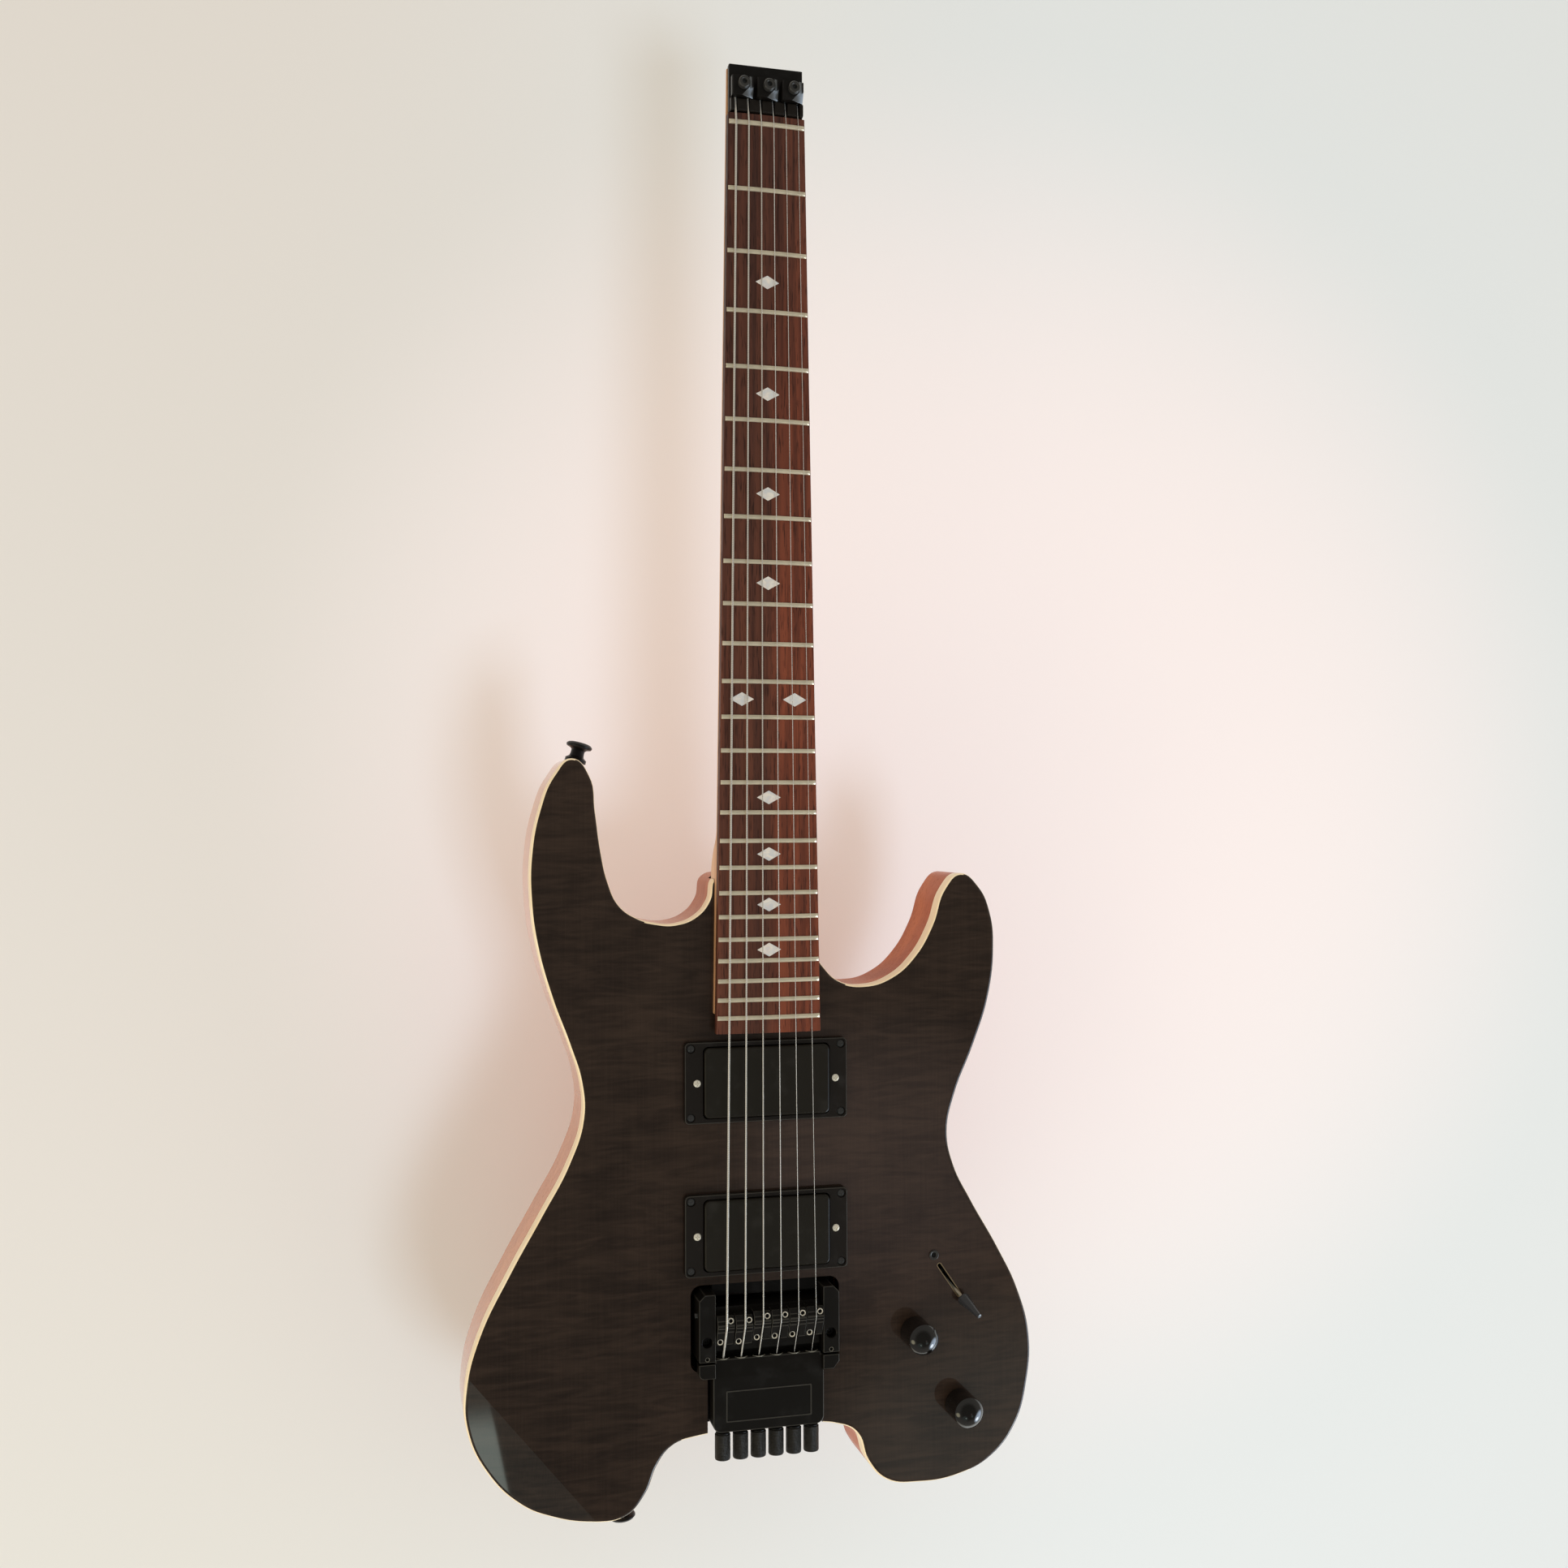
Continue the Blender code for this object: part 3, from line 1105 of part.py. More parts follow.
def make_controls():
    for name, place in POT_PLACES_MM.items():
        x, y = on_body(place)
        bore = SHAFT_RADIUS + SHAFT_CLEARANCE
        bushing_top = BODY_THICKNESS - 0.0002
        bore_floor = POT_BOTTOM + 0.002
        pot = turned(name + "_pot", [
            (0.0, bore_floor), (bore, bore_floor), (bore, bushing_top),
            (BUSHING_RADIUS, bushing_top), (BUSHING_RADIUS, POT_TOP), (POT_RADIUS, POT_TOP),
            (POT_RADIUS, POT_BOTTOM), (0.0, POT_BOTTOM)], (x, y, 0.0), steps=20)
        link_part(pot, STEEL)
        base = BODY_THICKNESS + 0.0006
        crown = base + CONTROL_KNOB_HEIGHT
        shaft_top = crown - 0.0060
        shaft = turned(name + "_shaft", [
            (0.0, shaft_top), (SHAFT_RADIUS, shaft_top), (SHAFT_RADIUS, bore_floor + GAP),
            (0.0, bore_floor + GAP)], (x, y, 0.0), steps=16)
        link_part(shaft, STEEL)
        shoulder = crown - CONTROL_KNOB_DOME
        profile = []
        dome_steps = 5
        for i in range(dome_steps + 1):
            angle = pi / 2 * i / dome_steps
            profile.append((CONTROL_KNOB_RADIUS * sin(angle),
                            shoulder + CONTROL_KNOB_DOME * cos(angle)))
        profile += [
            (CONTROL_KNOB_RADIUS, base), (bore, base), (bore, shaft_top + GAP),
            (0.0, shaft_top + GAP)]
        link_part(turned(name + "_knob", profile, (x, y, 0.0), steps=24), GLOSS_BLACK)


def make_selector():
    placing = selector_placing()
    half = SELECTOR_SLOT_LENGTH / 2
    slot_half = SELECTOR_SLOT_WIDTH / 2
    reach = half + SELECTOR_FRAME_MARGIN
    roof = CAP_BOTTOM - GAP
    offset = SELECTOR_CHEEK_OFFSET
    frame = box("selector_frame", (-reach, reach),
                (-SELECTOR_FRAME_HALF_WIDTH, SELECTOR_FRAME_HALF_WIDTH), (roof - 0.0014, roof))
    frame.data.transform(placing)
    link_part(frame, STEEL)
    for side, label in ((-1, "near"), (1, "far")):
        cheek = box("selector_cheek_" + label, (-0.009, 0.009),
                    (side * offset - 0.0006, side * offset + 0.0006),
                    (SELECTOR_PIVOT_Z - 0.005, roof - 0.0007))
        cheek.data.transform(placing)
        join(frame, cheek)
    window = box("selector_window", (-half, half), (-slot_half, slot_half),
                 (roof - 0.003, roof + 0.003))
    window.data.transform(placing)
    cut(frame, window)
    pin = cylinder("selector_pin", SELECTOR_PIN_RADIUS, (0, -offset, SELECTOR_PIVOT_Z),
                   (0, offset, SELECTOR_PIVOT_Z), sides=10)
    pin.data.transform(placing)
    join(frame, pin)
    pivot = Matrix.Translation((0, 0, SELECTOR_PIVOT_Z))
    tilt = pivot @ Matrix.Rotation(radians(SELECTOR_TILT), 4, "Y")
    lever = box("selector_lever", (-LEVER_WIDTH / 2, LEVER_WIDTH / 2),
                (-LEVER_THICKNESS / 2, LEVER_THICKNESS / 2), (-LEVER_TAIL, LEVER_REACH - GAP))
    lever.data.transform(placing @ tilt)
    link_part(lever, STEEL)
    hole = cylinder("lever_hole", SELECTOR_PIN_RADIUS + GAP, (0, -0.003, SELECTOR_PIVOT_Z),
                    (0, 0.003, SELECTOR_PIVOT_Z), sides=10)
    hole.data.transform(placing)
    cut(lever, hole)
    direction = (placing @ tilt).to_3x3() @ Vector((0, 0, 1))
    base = (placing @ tilt) @ Vector((0, 0, LEVER_REACH))
    tip = turned("selector_tip", [
        (0.0, TIP_LENGTH), (TIP_END_RADIUS * 0.6, TIP_LENGTH - 0.0002),
        (TIP_END_RADIUS, TIP_LENGTH - 0.0008), (TIP_BASE_RADIUS, 0.0016),
        (TIP_BASE_RADIUS, 0.0006), (TIP_BASE_RADIUS * 0.85, 0.0), (0.0, 0.0)],
        base, direction, steps=16)
    link_part(tip, BLACK_PLASTIC)


def make_jack_and_cover():
    face_x, jack_y = on_body(JACK_FACE_MM)
    flange_back = -JACK_FLANGE
    bore = JACK_BORE_RADIUS
    jack = turned("output_jack", [
        (0.0, -JACK_BORE_DEPTH), (bore, -JACK_BORE_DEPTH), (bore, 0.0),
        (JACK_FLANGE_RADIUS - 0.0006, 0.0), (JACK_FLANGE_RADIUS, -0.0006),
        (JACK_FLANGE_RADIUS, flange_back), (JACK_BARREL_RADIUS, flange_back),
        (JACK_BARREL_RADIUS, -JACK_LENGTH), (0.0, -JACK_LENGTH)],
        (face_x, jack_y, JACK_Z), (1, 0, 0), steps=20)
    link_part(jack, BLACK_METAL)
    cover = plate("cavity_cover", grown(plan(CAVITY_OUTLINE_MM), COVER_LEDGE),
                  GAP, GAP + COVER_THICKNESS, smooth=True)
    link_part(cover, BLACK_PLASTIC)


make_body()
make_neck()
make_fretboard()
make_headpiece()
make_pickups()
make_bridge_frame()
make_carriage()
make_tremolo_springs()
make_tuners()
make_saddles()
make_strings()
make_controls()
make_selector()
make_jack_and_cover()
make_strap_buttons()
bpy.context.view_layer.update()
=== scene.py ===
"""Looks of a headless electric guitar lying on its back, dressed over its CAD frame.

Metres, +Z out of the top, +Y up the neck, X = 0 on the centre line, Y = 0 on the saddle line.
"""
from contextlib import contextmanager
from math import cos, hypot, pi, radians, sin

import bmesh
import bpy
from mathutils import Matrix, Vector


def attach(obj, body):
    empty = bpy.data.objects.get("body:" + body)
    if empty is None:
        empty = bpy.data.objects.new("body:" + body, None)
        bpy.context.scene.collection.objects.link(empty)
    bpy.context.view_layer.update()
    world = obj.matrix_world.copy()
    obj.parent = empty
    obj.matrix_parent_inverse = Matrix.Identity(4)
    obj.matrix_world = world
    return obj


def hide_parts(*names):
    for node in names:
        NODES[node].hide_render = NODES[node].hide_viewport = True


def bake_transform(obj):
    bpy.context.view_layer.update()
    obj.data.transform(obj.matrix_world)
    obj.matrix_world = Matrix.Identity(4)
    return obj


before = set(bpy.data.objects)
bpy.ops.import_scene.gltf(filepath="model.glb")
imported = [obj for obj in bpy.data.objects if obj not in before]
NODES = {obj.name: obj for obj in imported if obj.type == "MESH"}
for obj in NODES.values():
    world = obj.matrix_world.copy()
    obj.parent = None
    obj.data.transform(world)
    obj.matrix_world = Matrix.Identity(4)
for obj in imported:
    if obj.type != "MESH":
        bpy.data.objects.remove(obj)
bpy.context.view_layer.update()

PHOTO_PIXELS = 1932
FOCAL_PIXELS = 2000
SENSOR_MM = 36
CAMERA_PLACE = (-0.21161, 0.26822, 0.90465)
CAMERA_TURN = (-0.0230, 0.2527, -0.0027)

SCALE_LENGTH = 0.648
FRET_COUNT = 24
INLAY_FRETS = (3, 5, 7, 9, 12, 15, 17, 19, 21)
BOARD_BOTTOM = 0.0463
BOARD_TOP = 0.0525
BOARD_RADIUS = 0.306
BODY_TOP = 0.042
CAP_BOTTOM = 0.033
BACK_TOP = 0.0327
PICKUP_PLACES = {"neck_pickup": 0.1270, "bridge_pickup": 0.0452}
STRING_RADII = (0.00058, 0.00045, 0.00033, 0.00022, 0.00017, 0.00013)
SADDLE_SETBACK = (0.0015, 0.0015, 0.0, 0.0, 0.0, 0.0)
BORE_Z = 0.0445
SADDLE_PITCH = 0.00985
BODY_OUTLINE_MM = (
    (-27.5, 237), (-31, 225), (-37.5, 217), (-49, 212.5), (-60, 213), (-70.5, 216), (-80, 223),
    (-86, 236), (-89.5, 251.5), (-92.5, 273), (-95.5, 292), (-105, 301.5), (-114.5, 293),
    (-122.5, 274), (-127, 249), (-127, 226.5), (-124, 203.5), (-116, 174.5), (-106.5, 149),
    (-100.5, 129.5), (-99.5, 110.5), (-107, 87), (-121.5, 60.5), (-138, 31.5), (-154, -1),
    (-160.5, -27.5), (-159.5, -49), (-149.5, -72), (-131.5, -91), (-115.5, -98.5),
    (-94.5, -102.5), (-76.5, -101), (-66, -90.5), (-59, -75), (-51.5, -66.5), (-39, -63),
    (0, -62), (44, -64.5), (52, -70), (57.5, -84.5), (68.5, -96.5), (87, -100), (111.5, -98),
    (131, -89.5), (145, -73.5), (152.5, -49.5), (154, -23.5), (147, 3), (135.5, 26.5),
    (119, 55), (109, 75), (105.5, 93.5), (110, 114), (121.5, 141.5), (130.5, 168), (134, 196),
    (132, 215.5), (125, 230.5), (114, 238), (104.5, 230), (96.5, 209), (86.5, 192.5),
    (73, 181), (57, 176.5), (42, 179.5), (33, 188), (21, 206), (4, 226), (-14, 238),
)
CAVITY_OUTLINE_MM = (
    (74, 30), (90, 36), (108, 33), (121, 12), (129, -20), (129, -55), (117, -77),
    (96, -83), (74, -70), (69, -20),
)
FLOOR_Z = -0.13
POT_PLACES = {"volume": (0.085, -0.016), "tone": (0.111, -0.058)}
SELECTOR_PLACE = (0.1059, 0.0107)
SELECTOR_DIRECTION = -55.66
JACK_PLACE = (0.1533, -0.030, 0.017)
STRAP_BUTTONS = {
    "strap_button_horn": ((-0.101, 0.3006, 0.023), (0.26, 0.966, 0)),
    "strap_button_tail": ((-0.0757, -0.1015, 0.018), (0.10, -0.995, 0)),
}
ALONG_X = Matrix(((0, 0, 1, 0), (1, 0, 0, 0), (0, 1, 0, 0), (0, 0, 0, 1)))
ALONG_Y = Matrix(((1, 0, 0, 0), (0, 0, -1, 0), (0, 1, 0, 0), (0, 0, 0, 1)))


def board_half(y):
    return (0.0431 + 0.0146 * (SCALE_LENGTH - y) / 0.486) / 2


def crown_drop(x):
    return x * x / (2 * BOARD_RADIUS)


def fret_y(number):
    return SCALE_LENGTH * 2 ** (-number / 12)


def saddle_x(index):
    return (index - 2.5) * SADDLE_PITCH


def nut_x(index):
    return (index - 2.5) * 0.007


def saddle_string_z(index):
    return 0.0572 - crown_drop(saddle_x(index))


# Finishes

def tint(red, green, blue):
    """An sRGB colour from 0 to 255 as the linear values a shader takes."""
    return tuple(((v / 255 + 0.055) / 1.055) ** 2.4 if v > 10 else v / 3295
                 for v in (red, green, blue)) + (1.0,)


class Field:
    """A number that varies over a surface. Sums on it add their Math nodes."""

    def __init__(self, recipe, socket):
        self.recipe = recipe
        self.socket = socket

    def _maths(self, operation, first, second):
        return self.recipe.node("ShaderNodeMath", {"operation": operation},
                               {0: first, 1: second})

    def __add__(self, other):
        return self._maths("ADD", self, other)

    def __radd__(self, other):
        return self._maths("ADD", other, self)

    def __sub__(self, other):
        return self._maths("SUBTRACT", self, other)

    def __rsub__(self, other):
        return self._maths("SUBTRACT", other, self)

    def __mul__(self, other):
        return self._maths("MULTIPLY", self, other)

    def __rmul__(self, other):
        return self._maths("MULTIPLY", other, self)

    def __truediv__(self, other):
        return self._maths("DIVIDE", self, other)

    def __pow__(self, other):
        return self._maths("POWER", self, other)

    def between(self, low, high, start=0.0, end=1.0):
        """Start below low, end above high, and a smooth rise from one to the other."""
        return self.recipe.node(
            "ShaderNodeMapRange", {"interpolation_type": "SMOOTHSTEP"},
            {"Value": self, "From Min": low, "From Max": high, "To Min": start, "To Max": end})


class Recipe:
    """A node tree put together from expressions."""

    def __init__(self, tree):
        self.tree = tree

    def node(self, kind, settings=None, inputs=None, output=0):
        """Add a node, set it up, feed its sockets with values or fields, return one output."""
        made = self.tree.nodes.new(kind)
        for key, value in (settings or {}).items():
            setattr(made, key, value)
        for key, value in (inputs or {}).items():
            self.feed(made.inputs[key], value)
        return Field(self, made.outputs[output])

    def feed(self, socket, value):
        if isinstance(value, Field):
            self.tree.links.new(value.socket, socket)
        else:
            socket.default_value = value

    def mix(self, amount, first, second):
        return self.node("ShaderNodeMix", {"data_type": "RGBA"},
                         {0: amount, 6: first, 7: second}, 2)


class Paint(Recipe):
    """A finish built from patterns on Object coordinates."""

    def __init__(self, name, roughness, metallic=0.0, coat=0.0, coat_roughness=0.1):
        self.material = bpy.data.materials.new(name)
        self.material.use_nodes = True
        super().__init__(self.material.node_tree)
        self.shader = self.tree.nodes["Principled BSDF"]
        self.place = self.node("ShaderNodeTexCoord", output="Object")
        self.put("Roughness", roughness)
        self.put("Metallic", metallic)
        self.put("Coat Weight", coat)
        self.put("Coat Roughness", coat_roughness)

    def put(self, socket, value):
        self.feed(self.shader.inputs[socket], value)

    def noise(self, per_metre, detail=4, roughness=0.55, distortion=0.0):
        stretched = self.node("ShaderNodeMapping", None,
                              {"Vector": self.place, "Scale": per_metre})
        return self.node(
            "ShaderNodeTexNoise", None,
            {"Vector": stretched, "Scale": 1.0, "Detail": detail, "Roughness": roughness,
             "Distortion": distortion}, "Fac")

    def axis(self, name):
        return self.node("ShaderNodeSeparateXYZ", None, {0: self.place}, name)

    def bump(self, height, distance, strength=1.0):
        self.put("Normal", self.node(
            "ShaderNodeBump", None,
            {"Height": height, "Distance": distance, "Strength": strength}, "Normal"))


def stained_flame():
    """Charcoal stain over figured maple: streaks cross the grain and shift in width."""
    paint = Paint("charcoal_flamed_maple", 0.5, coat=0.9, coat_roughness=0.02)
    paint.put("Specular IOR Level", 0.1)
    streak = paint.noise((24, 165, 24), 3, 0.6, 1.1).between(0.34, 0.68)
    fine = paint.noise((55, 430, 55), 2, 0.5, 0.6).between(0.35, 0.7)
    cloud = paint.noise((11, 9, 11), 3, 0.6, 0.4).between(0.3, 0.72)
    grain = paint.noise((1300, 26, 1300), 2).between(0.3, 0.75)
    light = streak * 0.36 + fine * 0.16 + cloud * 0.34 + grain * 0.14
    figure = paint.mix(light, tint(25, 17, 12), tint(54, 41, 32))
    paint.put("Base Color", figure)
    paint.put("Roughness", 0.55 - light * 0.14)
    paint.bump(grain * 0.5 + streak * 0.5, 0.00006, 0.35)
    return paint.material


def bare_maple():
    """The cap's unstained edge."""
    paint = Paint("natural_maple_edge", 0.38, coat=0.3, coat_roughness=0.14)
    grain = paint.noise((60, 60, 900), 3).between(0.3, 0.7)
    cloud = paint.noise((22, 22, 60), 2).between(0.3, 0.7)
    paint.put("Base Color", paint.mix(grain * 0.5 + cloud * 0.5, tint(250, 231, 192),
                                      tint(238, 213, 168)))
    paint.put("Roughness", 0.34 + grain * 0.1)
    return paint.material


def lacquered_mahogany():
    paint = Paint("lacquered_mahogany", 0.40, coat=1.0, coat_roughness=0.07)
    paint.put("Specular IOR Level", 0.1)
    band = paint.noise((46, 3.2, 46), 3, 0.6, 0.4).between(0.3, 0.7)
    pore = paint.noise((900, 34, 900), 3, 0.6).between(0.5, 0.68)
    cloud = paint.noise((9, 5, 9), 2).between(0.3, 0.7)
    # Towards the bass side the colour turns paler and the coat heavier; the paler colour is painted
    # light, the wall light the bass sides reflect.
    bass = paint.axis("X").between(-0.11, 0.0, 1.0, 0.0)
    rich = paint.mix(band * 0.6 + cloud * 0.4, tint(202, 108, 50), tint(162, 76, 34))
    pale = paint.mix(band * 0.6 + cloud * 0.4, tint(222, 146, 92), tint(192, 114, 66))
    base = paint.mix(bass * 0.7, rich, pale)
    paint.put("Base Color", paint.mix(pore * 0.3, base, tint(132, 68, 40)))
    paint.put("Roughness", 0.36 + pore * 0.12)
    paint.put("Coat Weight", 0.2 + bass * 0.8)
    paint.bump(1 - pore, 0.00008, 0.4)
    return paint.material


def oiled_maple():
    """The neck: pale, close-grained and satin."""
    paint = Paint("satin_neck_maple", 0.36, coat=0.2, coat_roughness=0.22)
    band = paint.noise((90, 2.2, 90), 4, 0.6, 0.3).between(0.3, 0.7)
    fleck = paint.noise((700, 60, 700), 2).between(0.52, 0.75)
    base = paint.mix(band, tint(226, 184, 138), tint(204, 152, 106))
    paint.put("Base Color", paint.mix(fleck * 0.3, base, tint(160, 108, 70)))
    paint.put("Roughness", 0.33 + band * 0.08)
    paint.bump(1 - fleck, 0.00004, 0.3)
    return paint.material


def rosewood():
    """Reddish brown with dark streaks and open pores along the neck."""
    paint = Paint("rosewood", 0.48)
    paint.put("Specular IOR Level", 0.18)
    band = paint.noise((190, 5.5, 190), 4, 0.62, 0.6).between(0.33, 0.66)
    vein = paint.noise((420, 8, 420), 3, 0.6, 0.3).between(0.54, 0.70)
    pore = paint.noise((1500, 90, 1500), 2, 0.5).between(0.56, 0.66)
    board = paint.noise((18, 2.5, 18), 2).between(0.3, 0.7)
    treble = (paint.axis("X").between(-0.003, 0.009)
              * paint.axis("Y").between(0.48, 0.62, 0.9, 0.1))
    warm = paint.mix(treble, tint(100, 57, 41), tint(132, 67, 44))
    dark = paint.mix(treble, tint(62, 38, 31), tint(86, 44, 31))
    base = paint.mix(band * 0.6 + board * 0.4, warm, dark)
    streaked = paint.mix(vein * 0.55, base, tint(44, 24, 18))
    paint.put("Base Color", paint.mix(pore * 0.6, streaked, tint(30, 17, 13)))
    paint.put("Roughness", 0.44 + pore * 0.3)
    paint.bump(1 - pore, 0.00012, 0.5)
    return paint.material


def pearl():
    """Shell inlay: cream clouds with cool, faintly pink layers."""
    paint = Paint("shell_inlay", 0.22, coat=0.6, coat_roughness=0.06)
    layer = paint.noise((150, 240, 150), 3, 0.6, 1.4).between(0.35, 0.65)
    blush = paint.noise((210, 130, 210), 2, 0.5, 0.8).between(0.5, 0.75)
    cool = paint.mix(layer, tint(216, 207, 192), tint(190, 190, 186))
    paint.put("Base Color", paint.mix(blush * 0.4, cool, tint(206, 184, 176)))
    paint.put("Roughness", 0.18 + layer * 0.14)
    return paint.material


def metal(name, color, roughness, metallic=1.0, scratch=0.06):
    """Plain metal with fine handling marks."""
    paint = Paint(name, roughness, metallic)
    mark = paint.noise((260, 1900, 260), 3, 0.6).between(0.35, 0.7)
    cloud = paint.noise((130, 130, 130), 2).between(0.3, 0.7)
    darker = tuple(c * 0.8 for c in color[:3]) + (1.0,)
    paint.put("Base Color", paint.mix(cloud * 0.6 + mark * 0.4, color, darker))
    paint.put("Roughness", roughness + mark * scratch)
    return paint.material


def black_coating(name, color, roughness, shine=0.4, texture=0.00003, coat=0.0, metallic=0.0):
    """Satin black paint or plastic with the slight orange peel it cures with."""
    paint = Paint(name, roughness, metallic, coat, 0.08)
    paint.put("Specular IOR Level", shine)
    peel = paint.noise((1500, 1500, 1500), 2)
    dust = paint.noise((85, 85, 85), 4, 0.62).between(0.5, 0.8)
    lighter = tuple(min(c * 1.7 + 0.006, 1.0) for c in color[:3]) + (1.0,)
    paint.put("Base Color", paint.mix(dust * 0.55, color, lighter))
    paint.put("Roughness", roughness + dust * 0.09)
    paint.bump(peel, texture, 0.35)
    return paint.material


def wound_wire():
    """A core wound with fine wire: ridges run round the string."""
    paint = Paint("wound_string", 0.34, 0.55)
    turn = (paint.axis("Y") * 0.66 + paint.axis("X") * 0.14) * 14000.0
    ridge = paint.node("ShaderNodeMath", {"operation": "SINE"}, {0: turn}) * 0.5 + 0.5
    worn = paint.noise((500, 60, 500), 3).between(0.4, 0.7)
    # The colour darkens in the grooves between the turns: painted shade.
    paint.put("Base Color", paint.mix(ridge, tint(186, 180, 166), tint(238, 232, 218)))
    paint.put("Roughness", 0.28 + worn * 0.14)
    paint.bump(ridge, 0.00006, 0.4)
    return paint.material


def knurled_black():
    """Crossed diagonal cuts round each tuning knob, worked out from its own centre line."""
    paint = Paint("knurled_black_metal", 0.46, 0.2)
    paint.put("Specular IOR Level", 0.4)
    turn = paint.axis("X") / SADDLE_PITCH
    whole = paint.node("ShaderNodeMath", {"operation": "FLOOR"}, {0: turn})
    across = (turn - whole - 0.5) * SADDLE_PITCH
    up = paint.axis("Z") - BORE_Z
    angle = paint.node("ShaderNodeMath", {"operation": "ARCTAN2"}, {0: across, 1: up})
    far = paint.node("ShaderNodeMath", {"operation": "SQRT"}, {0: across * across + up * up})
    on_side = far.between(0.0038, 0.0040)
    length = paint.axis("Y") * 5200.0
    first = paint.node("ShaderNodeMath", {"operation": "SINE"}, {0: angle * 26.0 + length})
    second = paint.node("ShaderNodeMath", {"operation": "SINE"}, {0: angle * 26.0 - length})
    diamond = (first * second * 0.5 + 0.5) * on_side
    worn = paint.noise((240, 240, 240), 3).between(0.45, 0.75)
    # The colour darkens in the cuts, painted shade, and lightens on the crests and worn spots.
    paint.put("Base Color", paint.mix(diamond * 0.8 + worn * 0.2, tint(15, 13, 10),
                                      tint(50, 47, 40)))
    paint.put("Roughness", 0.5 - diamond * 0.14)
    paint.bump(diamond, 0.00035, 0.7)
    return paint.material


STAIN = stained_flame()
CREAM = bare_maple()
MAHOGANY = lacquered_mahogany()
NECK_WOOD = oiled_maple()
ROSEWOOD = rosewood()
PEARL = pearl()
FRET_METAL = metal("fret_nickel_silver", tint(240, 228, 198), 0.30, 0.6)
NICKEL = metal("nickel_screw", tint(250, 242, 220), 0.20, 0.5)
STEEL = metal("steel", tint(196, 196, 192), 0.30)
PLAIN_WIRE = metal("plain_string", tint(236, 232, 222), 0.26, 0.5)
WOUND_WIRE = wound_wire()
BRASS = metal("aged_brass", tint(150, 130, 98), 0.34, 0.5)
DARK_SCREW = metal("black_oxide_screw", tint(76, 75, 72), 0.28, 0.6)
# Pale metal for the rail screws' rims and the entry lips: partly worn metal, partly painted
# highlight.
WEAR_AND_HIGHLIGHT_EDGE = metal("wear_and_painted_highlight_edge", tint(150, 146, 132), 0.32, 0.5)
LEVER_STEEL = metal("lever_steel", tint(206, 196, 174), 0.28, 0.6)
BLACK_METAL = black_coating("black_hardware", tint(18, 16, 14), 0.34, 0.3)
BRIDGE_BLACK = black_coating("black_bridge", tint(16, 14, 11), 0.32, 0.25)
BLACK_PLASTIC = black_coating("black_plastic", tint(24, 20, 16), 0.36, 0.3)
COVER_PLASTIC = black_coating("pickup_cover_plastic", tint(27, 24, 18), 0.36, 0.3)
# Lighter black metal for bevelled edges: partly rubbed wear, partly painted highlight.
EDGE_BLACK = metal("rubbed_edge_and_painted_highlight", tint(78, 75, 68), 0.30, 0.6)
# Pale metal on the clamps' treble slopes: a painted highlight, the window's reflection on them.
SLOPE_HIGHLIGHT = metal("slope_painted_highlight", tint(128, 130, 130), 0.30, 0.8)
GLOSS_BLACK = black_coating("gloss_black", tint(12, 11, 10), 0.10, 0.5, 0.000008, 0.9)
GREY_TIP = black_coating("dark_grey_tip", tint(44, 44, 45), 0.26, 0.5, coat=0.4)
# Painted shade for the insides of holes, screw sockets and routs; on rout walls it stands also for
# their black paint.
SHADE_BLACK = black_coating("rout_paint_and_painted_shade", tint(14, 12, 10), 0.5, 0.2)
KNURL = knurled_black()


# Modelling by hand

def leave_all():
    if bpy.context.mode != "OBJECT":
        bpy.ops.object.mode_set(mode="OBJECT")
    bpy.ops.object.select_all(action="DESELECT")


def hold(piece):
    leave_all()
    piece.select_set(True)
    bpy.context.view_layer.objects.active = piece


@contextmanager
def shaping(piece):
    """Edit mode on one piece, with all of it selected at first."""
    hold(piece)
    bpy.ops.object.mode_set(mode="EDIT")
    bpy.ops.mesh.select_mode(type="FACE")
    bpy.ops.mesh.select_all(action="SELECT")
    yield
    bpy.ops.object.mode_set(mode="OBJECT")


def pick_faces(piece, wanted):
    """Select the faces whose middle and outward direction are wanted."""
    bpy.ops.mesh.select_mode(type="FACE")
    bpy.ops.mesh.select_all(action="DESELECT")
    shape = bmesh.from_edit_mesh(piece.data)
    for face in shape.faces:
        if wanted(face.calc_center_median(), face.normal):
            face.select_set(True)
    bmesh.update_edit_mesh(piece.data)


def pick_edges(piece, wanted):
    """Select the edges whose middle, run and fold in degrees are wanted."""
    bpy.ops.mesh.select_mode(type="EDGE")
    bpy.ops.mesh.select_all(action="DESELECT")
    shape = bmesh.from_edit_mesh(piece.data)
    for edge in shape.edges:
        start, end = (corner.co for corner in edge.verts)
        fold = edge.calc_face_angle(0.0) * 180 / pi
        if wanted((start + end) / 2, (end - start).normalized(), fold):
            edge.select_set(True)
    bmesh.update_edit_mesh(piece.data)


def round_edges(piece, width, wanted, segments=3, edge_slot=-1):
    with shaping(piece):
        pick_edges(piece, wanted)
        bpy.ops.mesh.bevel(offset=width, segments=segments, affect="EDGES", profile=0.5,
                           clamp_overlap=True, material=edge_slot)


def with_edges(piece, paint):
    """A finish for the faces and, in the next slot, a lighter one for the edges: rubbed metal and
    painted highlight.
    """
    piece.data.materials.append(paint)
    piece.data.materials.append(EDGE_BLACK)
    return piece


def settle(piece):
    """Put the piece's place, turn and size into its mesh."""
    hold(piece)
    bpy.ops.object.transform_apply(location=True, rotation=True, scale=True)
    return piece


def fresh(name):
    piece = bpy.context.object
    piece.name = name
    return settle(piece)


